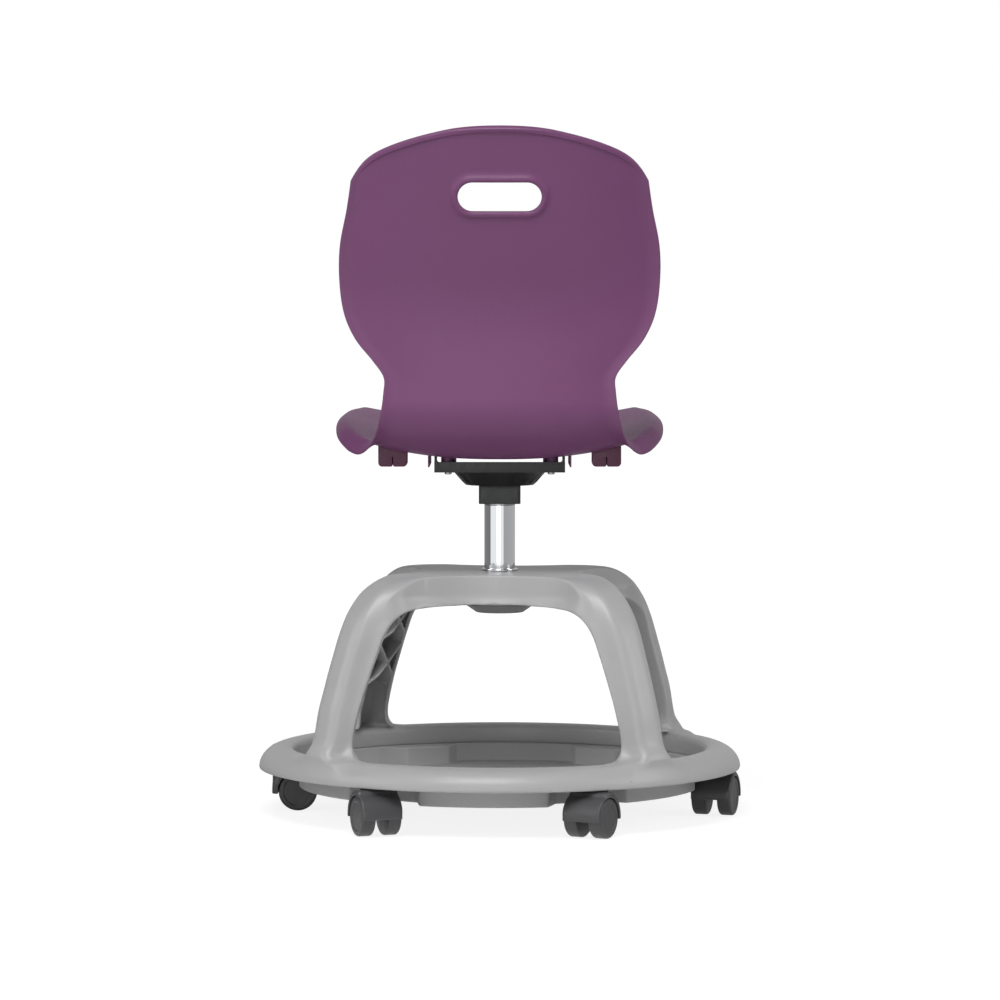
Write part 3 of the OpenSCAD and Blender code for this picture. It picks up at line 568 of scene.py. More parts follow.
def knot_value(knots, at):
    """Smooth value between given knots."""
    x, value = np.array(knots, float).T
    last = len(x) - 1
    before = np.maximum(np.arange(last + 1) - 1, 0)
    after = np.minimum(np.arange(last + 1) + 1, last)
    slope = (value[after] - value[before]) / (x[after] - x[before])
    i = np.clip(np.searchsorted(x, at, side="right") - 1, 0, last - 1)
    h = x[i + 1] - x[i]
    t = np.clip((at - x[i]) / h, 0, 1)
    return ((2 * t**3 - 3 * t**2 + 1) * value[i] + (t**3 - 2 * t**2 + t) * h * slope[i]
            + (3 * t**2 - 2 * t**3) * value[i + 1] + (t**3 - t**2) * h * slope[i + 1])


def middle_line(s):
    """Place (y, z) and heading of the shell's middle line after distance s."""
    y, z, heading = (np.full(np.shape(s), v, float) for v in (SHELL_FRONT[0], SHELL_FRONT[1], 0))
    start, aim = 0.0, radians(SHELL_FRONT[2])
    heading += aim
    for length, degrees in SHELL_PROFILE:
        gone = np.clip(s - start, 0, length)
        turn = radians(degrees) * gone / length
        if degrees == 0:
            y += gone * cos(aim)
            z += gone * sin(aim)
        else:
            radius = length / radians(degrees)
            y += radius * (np.sin(aim + turn) - sin(aim))
            z -= radius * (np.cos(aim + turn) - cos(aim))
        heading += turn
        start += length
        aim += radians(degrees)
    return y, z, heading


def start_s(u):
    """Distance along the middle line where the shell starts."""
    return FRONT_CORNER_CUT * np.abs(u) ** 6


def end_s(u):
    """Distance along the middle line where the shell's arched top ends."""
    return SHELL_END - TOP_ARCH_DROP * np.abs(u) ** 2.1 - TOP_CORNER_DROP * np.abs(u) ** 16


def shell_surface(u, s, off):
    """Points of the shell in metres: u across from -1 to 1, s along, off above the middle surface."""
    y, z, heading = middle_line(s)
    w = knot_value(HALF_WIDTHS, s)
    edge = np.maximum(0, 1 - (1 - np.abs(u)) * w / ROLL_W) ** 2
    lift = knot_value(SIDE_RISES, s) * np.abs(u) ** 2.4 - knot_value(EDGE_ROLLS, s) * edge + off
    return np.stack([u * w, y - lift * np.sin(heading), z + lift * np.cos(heading)], -1) * MM


def slot_outline(dx, ds):
    """Where a ray from the slot's middle meets its outline, and the outward direction there."""
    r = SLOT_H / 2
    half = SLOT_W / 2 - r
    size = np.hypot(dx, ds)
    dx, ds = dx / size, ds / size
    reach = r / np.maximum(np.abs(ds), 1e-9)
    along = half * np.abs(dx)
    round_end = np.abs(dx) * reach > half
    reach = np.where(round_end, along + np.sqrt(np.maximum(along**2 - half**2 + r**2, 0)), reach)
    x, s = dx * reach, ds * reach
    out = np.stack([x - np.clip(x, -half, half), s], -1)
    return x, s, out / np.linalg.norm(out, axis=-1, keepdims=True)


def shell_grid():
    """Places across from -1 to 1 and along the shell, closer together at the sides and in the lip."""
    t = 2 * np.arange(SHELL_COLS + 1) / SHELL_COLS - 1
    crowding = 1.35
    u = np.tile(np.sign(t) * (1 - (1 - np.abs(t)) ** crowding), (SHELL_ROWS + 1, 1))
    v = np.linspace(0, LIP_SHARE, SHELL_ROWS + 1 - LIP_ROWS)
    v = np.concatenate([v, np.linspace(LIP_SHARE, 1, LIP_ROWS + 1)[1:]])
    return u, start_s(u) + SHELL_T / 2 + (end_s(u) - start_s(u) - SHELL_T) * v[:, None]


def shell_skins(u_in, u, s):
    """Points of the front skin and of the rear one, which has the lip."""
    half = SHELL_T / 2
    lip = np.clip((s + half - end_s(u) + LIP_LEN) / 2, 0, 1) * (1 - np.abs(u) ** 8)
    rear = -half - LIP_T * lip * lip * (3 - 2 * lip)
    return [shell_surface(u_in, s, off).reshape(-1, 3) for off in (half, rear)]


def grid_border(j0, j1, i0, i1):
    """Numbers of the points round a rectangle of the shell's grid."""
    places = ([(j0, i) for i in range(i0, i1)] + [(j, i1) for j in range(j0, j1)]
              + [(j1, i) for i in range(i1, i0, -1)] + [(j, i0) for j in range(j1, j0, -1)])
    return [j * (SHELL_COLS + 1) + i for j, i in places]


def rim_rings(u, s, front, rear):
    """Rings of points that round the shell's edge from the front skin to the rear one."""
    near = SHELL_T / 2 + 1e-6
    edge_s = np.where(s - start_s(u) < near, start_s(u), s)
    edge_s = np.where(end_s(u) - s < near, end_s(u), edge_s)
    middle, up = (front + rear) / 2, (front - rear) / 2
    out = shell_surface(u, edge_s, 0) - middle
    rings = []
    for k in range(1, RIM_STEPS):
        a = pi * k / RIM_STEPS
        share = copysign(abs(cos(a)) ** 0.5, cos(a))
        rings.append(middle + out * sqrt(sin(a)) + up * share)
    return rings


def collar_rings(x, s):
    """Rings of points from the rear skin through the handle slot to the front skin."""
    slot_x, slot_s, way = slot_outline(x, s)
    reach = SLOT_SECTION[0][0]
    half_x = x + (slot_x + way[:, 0] * reach - x) / 2
    half_s = s + (slot_s + way[:, 1] * reach - s) / 2
    section = [(slot_x + way[:, 0] * d, slot_s + way[:, 1] * d, off) for d, off in SLOT_SECTION]
    section = [(half_x, half_s, -SHELL_T / 2)] + section + [(half_x, half_s, SHELL_T / 2)]
    return [shell_surface(a / knot_value(HALF_WIDTHS, b + SLOT_S), b + SLOT_S, off) for a, b, off in section]


def bridge(points, first, rings, last):
    """Faces from a loop of point numbers over rings of new points to another loop."""
    loops = [first]
    for ring in rings:
        loops.append(range(len(points), len(points) + len(ring)))
        points += list(ring)
    return strips(loops + [last])


def shell_body():
    """The one-piece shell: two skins, a rounded rim between them and a collar round the handle slot."""
    u, s = shell_grid()
    u_in = u * (1 - SHELL_T / 2 / knot_value(HALF_WIDTHS, s))
    x = u_in * knot_value(HALF_WIDTHS, s)
    front, rear = shell_skins(u_in, u, s)
    points, below = [*front, *rear], len(front)
    hole_cols = np.flatnonzero(np.abs(x[(SHELL_ROWS + 1) * 7 // 8]) < SLOT_W / 2 + SLOT_MARGIN)
    hole_rows = np.flatnonzero(np.abs(s[:, SHELL_COLS // 2] - SLOT_S) < SLOT_H / 2 + SLOT_MARGIN)
    i0, i1, j0, j1 = hole_cols[0], hole_cols[-1], hole_rows[0], hole_rows[-1]
    faces, across = [], SHELL_COLS + 1
    for j in range(SHELL_ROWS):
        for i in range(SHELL_COLS):
            if i0 <= i < i1 and j0 <= j < j1:
                continue
            a = j * across + i
            quad = (a, a + 1, a + across + 1, a + across)
            faces += [quad, tuple(below + q for q in quad)]
    rim, hole = grid_border(0, SHELL_ROWS, 0, SHELL_COLS), grid_border(j0, j1, i0, i1)
    rings = rim_rings(u.ravel()[rim], s.ravel()[rim], front[rim], rear[rim])
    faces += bridge(points, rim, rings, [below + r for r in rim])
    rings = collar_rings(x.ravel()[hole], s.ravel()[hole] - SLOT_S)
    faces += bridge(points, [below + b for b in hole], rings, hole)
    make_piece("shell_body", points, faces, "seat", "shell_plastic", ("seat_shell",), sharp=60)


def seat_root_z(x, y):
    """Height just inside the shell's underside over a place of the seat, where what hangs from it starts."""
    s = SHELL_PROFILE[0][0] + (y - SHELL_FRONT[0] - FRONT_ARC_RUN) * SEAT_STRETCH
    w = float(knot_value(HALF_WIDTHS, s))
    under = shell_surface(np.array(x / w), np.array(float(s)), -SHELL_T / 2)[2]
    return float(under) / MM + SHELL_T / 2


def shell_pair(name, prism_of, turn):
    """Left piece of the shell, turned into place, and its mirror image on the right."""
    return [
        make_piece(f"{name}_{label}", *prism_of, "seat", "shell_plastic", ("seat_shell",),
                   place=Matrix.Diagonal((side, 1, 1, 1)) @ turn)
        for side, label in ((1, "left"), (-1, "right"))]


def shell_clips():
    """Two moulded clips under the sides of the seat, each a pair of round-bottomed lobes over a slit."""
    top_in, top_out = (seat_root_z(x, sum(CLIP_Y) / 2) for x in (CLIP_IN_X, CLIP_OUT_X))
    middle = (CLIP_IN_X + CLIP_OUT_X) / 2
    slit_in, slit_out = middle - CLIP_SLIT / 2, middle + CLIP_SLIT / 2
    corners = [(CLIP_IN_X, top_in, 0), (CLIP_IN_X, CLIP_LOW_Z, 5), (slit_in, CLIP_LOW_Z, 2),
               (slit_in, CLIP_BRIDGE_Z, 0), (slit_out, CLIP_BRIDGE_Z, 0), (slit_out, CLIP_LOW_Z, 2),
               (CLIP_OUT_X, CLIP_LOW_Z, 5), (CLIP_OUT_X, top_out, 0)]
    stand_up = Matrix.Rotation(radians(90), 4, "X")
    for clip in shell_pair("shell_clip", prism(rounded(corners), -CLIP_Y[1], -CLIP_Y[0], 0.9), stand_up):
        # The clips take a darker copy of the shell's finish: painted shade for the shadow under the seat
        clip.data.materials[0] = FINISHES["shell_plastic_painted_shade"]


def shell_ribs():
    """Two thin ribs under the seat that keep it central on the plate."""
    outline = [(SHELL_RIB_Y[-1], SHELL_RIB_LOW_Z), (SHELL_RIB_Y[0], SHELL_RIB_LOW_Z)]
    outline += [(y, seat_root_z(SHELL_RIB_X, y)) for y in SHELL_RIB_Y]
    turn = Matrix.Rotation(radians(90), 4, "Z") @ Matrix.Rotation(radians(90), 4, "X")
    low, high = SHELL_RIB_X - SHELL_RIB_T / 2, SHELL_RIB_X + SHELL_RIB_T / 2
    shell_pair("shell_rib", prism(outline, low, high, 0.4), turn)


def shell_bosses():
    """Four round bosses under the seat that carry the threaded inserts."""
    for i, (x, y) in enumerate([(x, y) for x in (-BOLT_X, BOLT_X) for y in (-BOLT_Y, BOLT_Y)]):
        top = seat_root_z(abs(x), y)
        corners = [(BOSS_BORE_R, PLATE_TOP_Z, 0.5), (BOSS_R, PLATE_TOP_Z, 0.8), (BOSS_R, top, 0),
                   (BOSS_BORE_R, top, 0)]
        make_piece(f"shell_boss_{i + 1}", *lathe(corners, 48), "seat", "shell_plastic", ("seat_shell",),
                   place=Matrix.Translation((x * MM, y * MM, 0)))


# Base frame and tray

def base_tables(out, up):
    """Fields of the base's sections over distance and height; each path starts far below the base."""
    # The fields coincide on the flat top, where rounding them together lowers it by half the radius
    raised = [(a, b + TOP_EDGE_R / 2 if b > FLAT_TOP_Z else b) for a, b in ARCH_OUTER]
    corner = [((2 * a - CORNER_CHAMFER) / sqrt(2), b) for a, b in raised[:-1]]
    far_low, far_high = -100, 500
    paths = {
        "side": [(250, far_low)] + smoothed(raised),
        "corner": [(corner[0][0], far_low)] + smoothed(corner + [(0, TOP_Z + TOP_EDGE_R / 2)]),
        "foot": [(313, far_low)] + smoothed(FOOT_LIMIT) + [(400, far_high), (0, far_high)],
        "waist": WAIST_CUT[:1] + smoothed(WAIST_CUT[1:-1]) + WAIST_CUT[-1:],
        "arch": [(150, far_low)] + smoothed(ARCH_INNER),
        "flange": [(205, far_low)] + FLANGE_LIMIT}
    tables = {name: outline_field(both_sides(path), out, up) for name, path in paths.items()}
    tables["ring"] = outline_field(ring_path(), out, up)
    return tables


def ring_path():
    """Closed section of the floor ring: its skin and the inside of its wall."""
    skin = smoothed(RING_SKIN, 2)
    inside = []
    for i, here in enumerate(skin):
        before, after = Vector(skin[max(0, i - 1)]), Vector(skin[min(len(skin) - 1, i + 1)])
        way = (after - before).normalized()
        inside.append((here[0] + way.y * WALL_T, here[1] - way.x * WALL_T))
    return skin + inside[::-1]


def side_field(swept, out, across, up):
    """Two opposite sides of the base, drawn in beside the arches."""
    heights, depths = zip(*DRAWN_IN)
    drawn_in = np.interp(up, heights, depths).astype(np.float32)
    reaches, levels = zip(*ARCH_OUTER)
    profile = np.interp(up, levels, reaches).astype(np.float32)
    share = np.clip((profile - CORNER_CHAMFER - np.abs(across)[..., None]) / DRAWN_IN_W, 0, 1)
    return swept("side", np.abs(out)[..., None] + drawn_in * share * share * (3 - 2 * share))


def outer_field(swept, x, y, z, up):
    """Outside of the base: sides, chamfered corners, flat top, feet and waists beside the top."""
    edge_r = TOP_EDGE_R + (EDGE_R - TOP_EDGE_R) * np.clip((EDGE_FADE_Z - z) / EDGE_FADE, 0, 1)
    field = within_both(side_field(swept, x, y, up), side_field(swept, y, x, up), edge_r)
    for diagonal in (x + y, x - y):
        field = within_both(field, swept("corner", np.abs(diagonal) / sqrt(2)), edge_r)
    field = within_both(field, z - TOP_Z, TOP_RIM_R)
    field = within_both(field, swept("foot", np.hypot(x, y)), FOOT_EDGE_R)
    for a, b in ((x, y), (y, x)):
        waist = swept("waist", np.hypot(a, np.abs(b) - WAIST_CUT_Y))
        field = cut_from(field, waist, WAIST_EDGE_R * np.clip((WAIST_FADE_Z - z) / WAIST_FADE, 0.1, 1))
    return field


def rib_field(x, y, z):
    """Crossed ribs inside the legs and straight ribs under the top plate."""
    ribs = np.full(x.shape + (z.shape[2],), 1e3, np.float32)
    lean = radians(RIB_SLOPE)
    for along, side in ((x + y, x - y), (x - y, x + y)):
        out, off = (np.abs(along) / sqrt(2))[..., None], (side / sqrt(2))[..., None]
        for height, half in RIB_CROSSINGS:
            depth = half * sqrt(2) - RIB_IN - (z - height) * tan(radians(LEG_LEAN)) - out
            reach = np.maximum(depth, np.maximum(np.abs(z - height), np.abs(off)) - RIB_REACH)
            for way in (-1, 1):
                slab = np.abs(way * off * sin(lean) + (z - height) * cos(lean)) - RIB_T / 2
                ribs = np.minimum(ribs, np.maximum(slab, reach))
        straight = np.maximum(np.abs(off) - RIB_T / 2, TOP_RIB_Z - z)
        ribs = np.minimum(ribs, np.maximum(straight, out - TOP_RIB_REACH))
    return ribs


def hollowed(field, swept, x, y, z):
    """Base with only its wall, the flanges round its arches and the ribs left, and the arches open."""
    arches = [swept("arch", np.abs(a)) for a in (x, y)]
    limit = np.maximum(swept("flange", np.abs(x)), swept("flange", np.abs(y)))
    flanges = np.maximum(np.minimum(arches[0], arches[1]) - WALL_T, -limit)
    flanges = np.maximum(flanges, FLANGE_LOW_Z - z)
    inside = np.minimum(-field - WALL_T, np.minimum(rib_field(x, y, z), flanges))
    field = np.maximum(field, inside)
    for arch in arches:
        field = cut_from(field, arch, ARCH_EDGE_R)
    return np.maximum(field, LOW_Z - z)


def with_ring(field, swept, radius, z):
    """Base joined to its floor ring, with the tray's room kept clear inside the ring."""
    room = np.maximum(radius[..., None] - RING_IN_R, z - RING_TOP_Z)
    field = cut_from(field, room, ROOM_EDGE_R)
    blend = RING_BLEND + FOOT_BLEND * np.clip((radius - FOOT_BLEND_R) / FOOT_BLEND_W, 0, 1)[..., None]
    field = joined(field, swept("ring", radius), blend)
    return np.maximum(np.maximum(field, swept("foot", radius)), RING_LOW_Z - z)


def with_posts(field, x, y, z):
    """Base with the hub round the column, and posts in the ring for the casters and the tray's screws."""
    def off_axis(radius, degrees):
        a = radians(degrees)
        return np.hypot(x - radius * cos(a), y - radius * sin(a))[..., None]

    middle = off_axis(0, 0).astype(np.float32)
    hub = joined(upright(middle, z, *HUB), upright(middle, z, *HUB_FLANGE), SMALL_BLEND)
    field = np.maximum(joined(field, hub, SMALL_BLEND), COLUMN_R + COLUMN_GAP - middle)
    for degrees in (0, 60):
        post = off_axis(CASTER_R, degrees)
        field = joined(field, upright(post, z, *SOCKET_POST), SMALL_BLEND)
        field = np.maximum(field, np.minimum(SOCKET_BORE_R - post, SOCKET_BORE_TOP_Z - z))
        post = off_axis(TRAY_SCREW_R, degrees + 30)
        field = joined(field, upright(post, z, *SCREW_POST), SMALL_BLEND)
    return field.astype(np.float32)


def base_field():
    """Field of the base frame before it is turned, worked out for one quarter, with its grid's corner."""
    half_width, farthest = 324, 480
    plan = np.arange(0, half_width, BASE_STEP)
    up = np.arange(LOW_Z - 6, TOP_Z + 5, BASE_STEP)
    x, y = np.meshgrid(plan, plan, indexing="ij")
    z = up[None, None, :].astype(np.float32)
    tables = base_tables(np.arange(0, farthest, BASE_STEP), up)

    def swept(name, distance):
        return spread(tables[name], distance, BASE_STEP)

    field = hollowed(outer_field(swept, x, y, z, up), swept, x, y, z)
    field = with_posts(with_ring(field, swept, np.hypot(x, y), z), x, y, z)
    field = np.concatenate([field[:0:-1], field])
    return np.concatenate([field[:, :0:-1], field], 1), (-plan[-1], -plan[-1], up[0])


def base_frame():
    """The base's one moulding, thinned to its budget of triangles."""
    turned = Matrix.Rotation(radians(BASE_YAW), 4, "Z")
    mesh = thinned(field_mesh("base_body", *base_field(), BASE_STEP, turned), BASE_TRIANGLES)
    fit_piece("base_body", mesh, "base", "base_plastic", ("base_frame",), sharp=50)


def tray_outline():
    """Plan of the tray's wall: round, with a flat-sided pocket for each caster."""
    def on_wall(degrees):
        return TRAY_R * cos(radians(degrees)), TRAY_R * sin(radians(degrees))

    out = asin(POCKET_OUT_HALF / TRAY_R) * 180 / pi
    between = [*np.linspace(out + 2, 27, 9), *np.linspace(28, 32, 17), *np.linspace(33, 58 - out, 9)]
    sector = [(*on_wall(-out), POCKET_CORNER_R), (POCKET_IN_R, -POCKET_IN_HALF, POCKET_CORNER_R)]
    sector += [(POCKET_IN_R, POCKET_IN_R * tan(radians(a / 2)), 0) for a in range(-9, 10)]
    sector += [(POCKET_IN_R, POCKET_IN_HALF, POCKET_CORNER_R), (*on_wall(out), POCKET_CORNER_R)]
    sector += [(*on_wall(a), 0) for a in between]
    turns = [Matrix.Rotation(radians(60 * k), 2) for k in range(6)]
    return rounded([(*(turn @ Vector((x, y))), r) for turn in turns for x, y, r in sector], 4)


def rim_reach(angle):
    """Radius of the tray's rim at an angle: notched for the stems, with tabs for the screws."""
    off = (angle + pi / 6) % (pi / 3) - pi / 6
    if abs(off) < asin(STEM_HOLE_R / CASTER_R):
        notch = CASTER_R * cos(off) - sqrt(STEM_HOLE_R ** 2 - (CASTER_R * sin(off)) ** 2)
        return min(TRAY_RIM_R, notch)
    off = angle % (pi / 3) - pi / 6
    if abs(off) < asin(TRAY_TAB_R / TRAY_SCREW_R):
        tab = sqrt(TRAY_TAB_R ** 2 - (TRAY_SCREW_R * sin(off)) ** 2)
        return max(TRAY_RIM_R, TRAY_SCREW_R * cos(off) + tab)
    return TRAY_RIM_R


def storage_tray():
    """Tray between the casters: floor, wall with pockets and a rim that is screwed under the ring."""
    wall = tray_outline()
    bearings = [atan2(y, x) for x, y in wall]
    rim = [(rim_reach(a) * cos(a), rim_reach(a) * sin(a)) for a in bearings]
    flat = [(x * FLAT_SHARE, y * FLAT_SHARE) for x, y in wall]
    rim_top, floor_z = TRAY_RIM_Z + TRAY_T, TRAY_Z + TRAY_T
    sections = [
        (flat, 0, TRAY_Z), (wall, 2.4, TRAY_Z), (wall, 1.2, TRAY_Z + 0.3), (wall, 0.3, TRAY_Z + 1.2),
        (wall, 0, TRAY_Z + 2.4), (wall, 0, TRAY_RIM_Z), (rim, 0.6, TRAY_RIM_Z), (rim, 0, TRAY_RIM_Z + 0.6),
        (rim, 0, rim_top - 0.8), (rim, 0.8, rim_top), (wall, TRAY_T - 0.8, rim_top),
        (wall, TRAY_T, rim_top - 0.8), (wall, TRAY_T, floor_z + 2), (wall, TRAY_T + 0.6, floor_z + 0.6),
        (wall, TRAY_T + 2, floor_z), (flat, 0, floor_z)]
    points, loops = stacked([(inset(outline, depth), z) for outline, depth, z in sections])
    faces = strips(loops)
    for loop, z in ((loops[0], TRAY_Z), (loops[-1], floor_z)):
        faces += [(len(points), loop[i - 1], loop[i]) for i in range(len(wall))]
        points.append((0, 0, z * MM))
    make_piece("tray_body", points, faces, "base", "tray_plastic",
               ("tray_floor", "tray_walls", "tray_pockets", "tray_rim"),
               place=Matrix.Rotation(radians(BASE_YAW), 4, "Z"))


def base_hardware():
    """Hub cap, column and what holds it, each standing for its own node."""
    cap = softened_copy("hub_cap", "hub_cap_body", "base", "black_plastic", 0.8)
    cap.data.materials[0] = FINISHES["cap_plastic"]
    softened_copy("column_nut", "column_nut_body", "base", "steel", 0.8)
    make_piece("column_body", *lathe(COLUMN_CORNERS, 128), "base", "chrome", ("column_tube",))
    make_piece("collar_body", *lathe(COLLAR_CORNERS, 128), "base", "chrome", ("column_collar",))


def seat_hardware():
    """Plate, dish and block that carry the shell, with the softened edges of pressed and cast parts."""
    plate = softened_copy("seat_plate", "plate_body", "seat", "black_metal", 1.1)
    dish = softened_copy("carrier_dish", "dish_body", "seat", "black_metal", 0.8)
    for vertex in plate.data.vertices:
        vertex.co.z += PLATE_RISE * MM
        if abs(vertex.co.x) > PLATE_SIDE_X * MM:
            vertex.co.x -= copysign(PLATE_TRIM * MM, vertex.co.x)
        if vertex.co.y < -PLATE_FRONT_Y * MM:
            vertex.co.z = min(vertex.co.z, PLATE_FRONT_Z * MM)
    for vertex in dish.data.vertices:
        if vertex.co.z > DISH_RIM_Z * MM:
            vertex.co.z += PLATE_RISE * MM
    softened_copy("socket_block", "block_body", "seat", "black_plastic", 1.0)
    softened_copy("spindle_nut", "spindle_nut_body", "seat", "steel", 0.7)


# Casters

def caster_place(n):
    """Where caster n stands, drawn with its swivel on Z and its wheels trailing along +X."""
    bearing = radians(BASE_YAW + CASTER_BEARINGS[n])
    place = Vector((CASTER_R * cos(bearing), CASTER_R * sin(bearing), 0)) * MM
    return Matrix.Translation(place) @ Matrix.Rotation(radians(CASTER_HEADINGS[n]), 4, "Z")


def hood_field():
    """Field of a caster's hood: fender over the wheels, housing round the stem and web between them."""
    x, y, z = np.meshgrid(*(np.arange(a, b, HOOD_STEP) for a, b in HOOD_BOX), indexing="ij")
    ring, stem = np.hypot(x - TRAIL, z - AXLE_Z), np.hypot(x, y)
    fender = within_both(ring - HOOD_R, np.abs(y) - FENDER_HALF, 4)
    fender = within_both(fender, x - TRAIL - FENDER_PAST_AXLE, 4)
    tail = within_both(ring - HOOD_TAIL_R, np.abs(y) - FENDER_HALF, 1.5)
    tail = within_both(tail, stem - HOOD_SWING_R, 1.5)
    housing = within_both(stem - HOUSING_R, HOOD_LOW_Z - z, 1.5)
    hood = joined(joined(fender, tail, 4), housing, 3)
    hood = within_both(hood, z - HOOD_TOP_Z, 2.0)
    hood = within_both(hood, HOOD_LOW_Z - z, 1.0)
    hood = cut_from(hood, np.maximum(ring - HOOD_IN_R, WEB_HALF - np.abs(y)), 0.5)
    hood = joined(hood, np.maximum(ring - WEB_R, np.abs(y) - WEB_HALF), 1.5)
    hood = np.maximum(hood, np.minimum(STEM_R - stem, z - STEM_LOW_Z))
    return np.maximum(hood, AXLE_R - ring), [low for low, high in HOOD_BOX]


def casters():
    """Six casters: hood, stem, axle and two wheels each, every wheel on its own body."""
    field, low = hood_field()
    for n in range(6):
        name, place = f"caster_{n + 1}", caster_place(n)
        mesh = field_mesh(name + "_hood_body", field, low, HOOD_STEP, place)
        fit_piece(name + "_hood_body", mesh, name, "caster_plastic", (name + "_hood",), sharp=50)
        make_piece(name + "_stem_body", *lathe(STEM_CORNERS, 40), name, "steel", (name + "_stem",),
                   place=place)
        lying = Matrix.Translation((TRAIL * MM, 0, AXLE_Z * MM)) @ Matrix.Rotation(radians(90), 4, "X")
        make_piece(name + "_axle_body", *lathe(AXLE_CORNERS, 32), name, "steel", (name + "_axle",),
                   place=place @ lying)
        for side, label in ((1, "a"), (-1, "b")):
            out = Matrix.Translation((TRAIL * MM, side * (WEB_HALF + WHEEL_GAP) * MM, AXLE_Z * MM))
            out = place @ (out @ Matrix.Rotation(radians(-90 * side), 4, "X"))
            wheel = f"{name}_wheel_{label}"
            make_piece(f"{name}_tyre_{label}", *lathe(WHEEL_CORNERS, 72), wheel, "wheel_plastic", (wheel,),
                       place=out)


# Screws, repeated by geometry nodes

def screw_template(name, head_r, head_h, shank_r, length):
    """One screw standing on its head's underside at z = 0, head down, with a cross recess."""
    corners = [(0, -head_h, 0), (head_r, -head_h, head_h * 0.7), (head_r, 0, 0.2), (shank_r, 0, 0),
               (shank_r, length, 0.5), (0, length, 0)]
    mesh = new_mesh(name, *lathe(corners, 32, 4))
    for vertex in mesh.vertices:
        arm = min(abs(vertex.co.x), abs(vertex.co.y)) < CROSS_HALF * MM
        in_cross = arm and vertex.co.xy.length < CROSS_REACH * MM
        if vertex.co.z < -head_h * 0.6 * MM and in_cross:
            vertex.co.z += CROSS_DEPTH * MM
    return new_object(name, mesh)


def pattern_tree(name, in_ring):
    """Geometry nodes that stand a screw on each point of a ring or of a rectangle's corners."""
    tree = bpy.data.node_groups.new(name, "GeometryNodeTree")
    for label, kind in (("Geometry", "Geometry"), ("Screw", "Object"), ("Finish", "Material"),
                        ("Across", "Float"), ("Along", "Float"), ("Count", "Int"), ("Turn", "Float"),
                        ("Height", "Float")):
        tree.interface.new_socket(label, in_out="INPUT", socket_type="NodeSocket" + kind)
    tree.interface.new_socket("Geometry", in_out="OUTPUT", socket_type="NodeSocketGeometry")
    given = tree.nodes.new("NodeGroupInput").outputs
    if in_ring:
        places = add_node(tree, "GeometryNodeMeshCircle", {
            "Vertices": given["Count"], "Radius": given["Across"]})
    else:
        places = add_node(tree, "GeometryNodeMeshGrid", {
            "Size X": given["Across"], "Size Y": given["Along"], "Vertices X": 2, "Vertices Y": 2})
    screw = add_node(tree, "GeometryNodeObjectInfo", {"Object": given["Screw"]}).outputs["Geometry"]
    stood = add_node(tree, "GeometryNodeInstanceOnPoints", {"Points": places, "Instance": screw})
    turn = shader_node(tree, "CombineXYZ", {"Z": given["Turn"]})
    lift = shader_node(tree, "CombineXYZ", {"Z": given["Height"]})
    moved = add_node(tree, "GeometryNodeTransform", {
        "Geometry": stood, "Translation": lift, "Rotation": turn})
    real = add_node(tree, "GeometryNodeRealizeInstances", {"Geometry": moved})
    dressed = add_node(tree, "GeometryNodeSetMaterial", {"Geometry": real, "Material": given["Finish"]})
    add_node(tree, "NodeGroupOutput", {"Geometry": dressed})
    return tree


def screws(name, tree, template, body, node, values):
    """Plain mesh of a pattern of screws, standing for a node."""
    holder = new_object(name + "_pattern", bpy.data.meshes.new(name + "_pattern"))
    modifier = holder.modifiers.new("pattern", "NODES")
    modifier.node_group = tree
    values = {"Screw": template, "Finish": FINISHES["steel"], **values}
    for socket in tree.interface.items_tree:
        if socket.in_out == "INPUT" and socket.name in values:
            modifier[socket.identifier] = values[socket.name]
    fit_piece(name, applied(holder), body, "steel", (node,))
    bpy.data.objects.remove(template)


def all_screws():
    """Six screws under the tray's rim and four under the seat plate."""
    ring, corners = pattern_tree("screws_in_a_ring", True), pattern_tree("screws_at_corners", False)
    small = screw_template("tray_screw_template", *TRAY_SCREW)
    pan = screw_template("pan_screw_template", *SEAT_SCREW)
    screws("tray_screw_heads", ring, small, "base", "tray_screws", {
        "Across": TRAY_SCREW_R * MM, "Count": 6, "Turn": radians(30 + BASE_YAW),
        "Height": TRAY_RIM_Z * MM})
    screws("seat_screw_heads", corners, pan, "seat", "seat_screws", {
        "Across": 2 * BOLT_X * MM, "Along": 2 * BOLT_Y * MM, "Height": PLATE_LOW_Z * MM})


# Finish of the nodes that are kept as they are

def dress_kept_nodes():
    slots = {node["node"]: node["material_slot"] for node in frame["record"]["subparts"]}
    for name, node in frame["nodes"].items():
        node.data.materials.clear()
        node.data.materials.append(FINISHES[slots[name]])


# Studio

def walls_group():
    """Tone of the studio's walls in a direction."""
    tree, given = new_group("studio_walls")
    parts = shader_node(tree, "SeparateXYZ", {"Vector": given["Vector"]}).outputs
    bearing = worked_out(tree, "ARCTAN2", parts["X"], parts["Y"])
    share = shader_node(tree, "MapRange", {"Value": bearing, "From Min": -pi, "From Max": pi})
    ramp = shader_node(tree, "ValToRGB", {"Fac": share})
    stops = ramp.color_ramp.elements
    while len(stops) < len(WALL_TONES):
        stops.new(0.5)
    for stop, (degrees, tone) in zip(stops, WALL_TONES):
        stop.position = 0.5 + degrees / 360
        stop.color = (tone, tone, tone, 1)
    return end_group(tree, "NodeSocketColor", Color=ramp)


def split_rays(tree, lit, white, mirrored):
    """Shader that lights the object as lit, shows white to the camera and the walls' tones to mirrors."""
    path = shader_node(tree, "LightPath").outputs
    seen = worked_out(tree, "MAXIMUM", path["Is Camera Ray"], path["Is Transmission Ray"])
    plain = shader_node(tree, "MixShader", {0: seen, 1: lit, 2: white})
    return shader_node(tree, "MixShader", {0: path["Is Glossy Ray"], 1: plain, 2: mirrored})


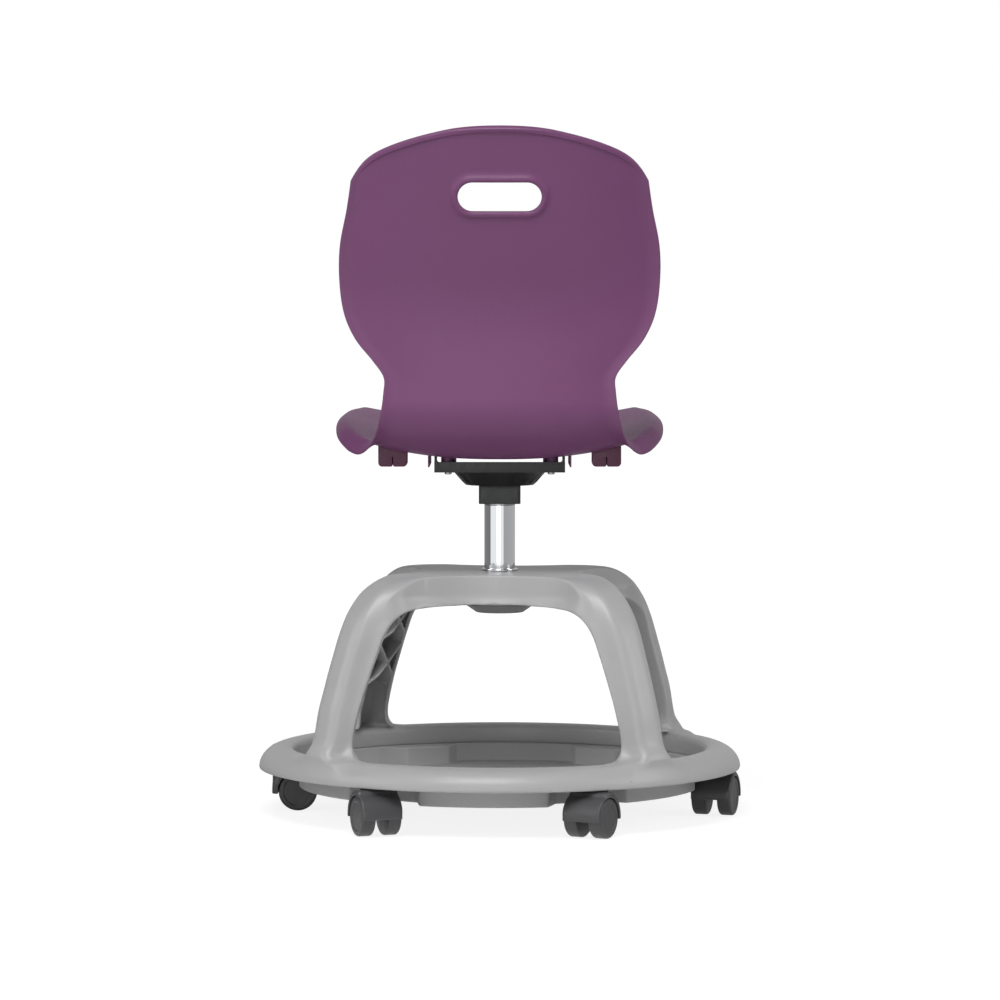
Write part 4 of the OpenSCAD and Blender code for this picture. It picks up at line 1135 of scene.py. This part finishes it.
def grey(tree, tone):
    """Matt shader of one tone."""
    return shader_node(tree, "BsdfDiffuse", {"Color": (tone, tone, tone, 1)})


def studio_floor(walls):
    """Pale floor that fades into a white background and keeps a faint shadow; nothing from below."""
    mesh = bpy.data.meshes.new("studio_floor")
    corners = [(x * FLOOR_HALF, y * FLOOR_HALF, 0) for x, y in ((-1, -1), (1, -1), (1, 1), (-1, 1))]
    mesh.from_pydata(corners, [], [(0, 1, 2, 3)])
    floor = new_object("studio_floor", mesh)
    floor.location.z = FLOOR_Z
    material = bpy.data.materials.new("studio_floor")
    material.use_nodes = True
    tree = material.node_tree
    tree.nodes.clear()
    place = shader_node(tree, "NewGeometry").outputs
    far = shader_node(tree, "VectorMath", {0: place["Position"]}, operation="LENGTH")
    fade = shader_node(tree, "MapRange", {
        "Value": far.outputs["Value"], "From Min": 0.6, "From Max": 2.6, "To Min": 0.86, "To Max": 1.0})
    glow = shader_node(tree, "Emission", {"Strength": fade})
    white = shader_node(tree, "AddShader", {0: grey(tree, FLOOR_FAINT), 1: glow})
    tone = use_group(tree, walls, Vector=place["Position"])
    mirrored = shader_node(tree, "Emission", {"Color": tone})
    above = split_rays(tree, grey(tree, FLOOR_LIT), white, mirrored)
    clear = shader_node(tree, "BsdfTransparent")
    both = shader_node(tree, "MixShader", {0: place["Backfacing"], 1: above, 2: clear})
    shader_node(tree, "OutputMaterial", {"Surface": both})
    mesh.materials.append(material)


def studio_world(walls):
    """Even light all round, with the walls' tones for what mirrors show."""
    world = bpy.data.worlds.new("studio")
    bpy.context.scene.world = world
    world.use_nodes = True
    tree = world.node_tree
    tree.nodes.clear()
    lit, white = (shader_node(tree, "Background", {"Color": (1, 1, 1, 1), "Strength": strength})
                  for strength in (WORLD_LIGHT, 1.0))
    tone = use_group(tree, walls, Vector=shader_node(tree, "TexCoord").outputs["Generated"])
    mirrored = shader_node(tree, "Background", {"Color": tone})
    shader_node(tree, "OutputWorld", {"Surface": split_rays(tree, lit, white, mirrored)})


def soft_box(name, place, size, share):
    """Square lamp that gives a surface facing it at the target that share of full brightness."""
    lamp = bpy.data.lights.new(name, "AREA")
    lamp.shape = "SQUARE"
    lamp.size = size
    way = Vector(LAMP_TARGET) - Vector(place)
    lamp.energy = share * pi ** 2 * way.length_squared
    box = new_object(name, lamp)
    box.location = place
    box.rotation_euler = way.to_track_quat("-Z", "Y").to_euler()


def studio_camera():
    """Camera behind the chair at the photograph's viewing angle, tilted down a little, with no shift."""
    lens = bpy.data.cameras.new("photo_camera")
    lens.sensor_width = 36.0
    lens.lens = CAMERA_LENS
    lens.clip_end = 100.0
    camera = new_object("photo_camera", lens)
    camera.location = CAMERA_PLACE
    camera.rotation_euler = (radians(90 - CAMERA_DIP), 0, radians(180))
    bpy.context.scene.camera = camera


studio_camera()
walls = walls_group()
studio_floor(walls)
studio_world(walls)
for name, values in LAMPS.items():
    soft_box(name, *values)
bpy.context.scene.view_settings.view_transform = "Standard"

dress_kept_nodes()
shell_body()
shell_clips()
shell_ribs()
shell_bosses()
seat_hardware()
base_frame()
storage_tray()
base_hardware()
casters()
all_screws()
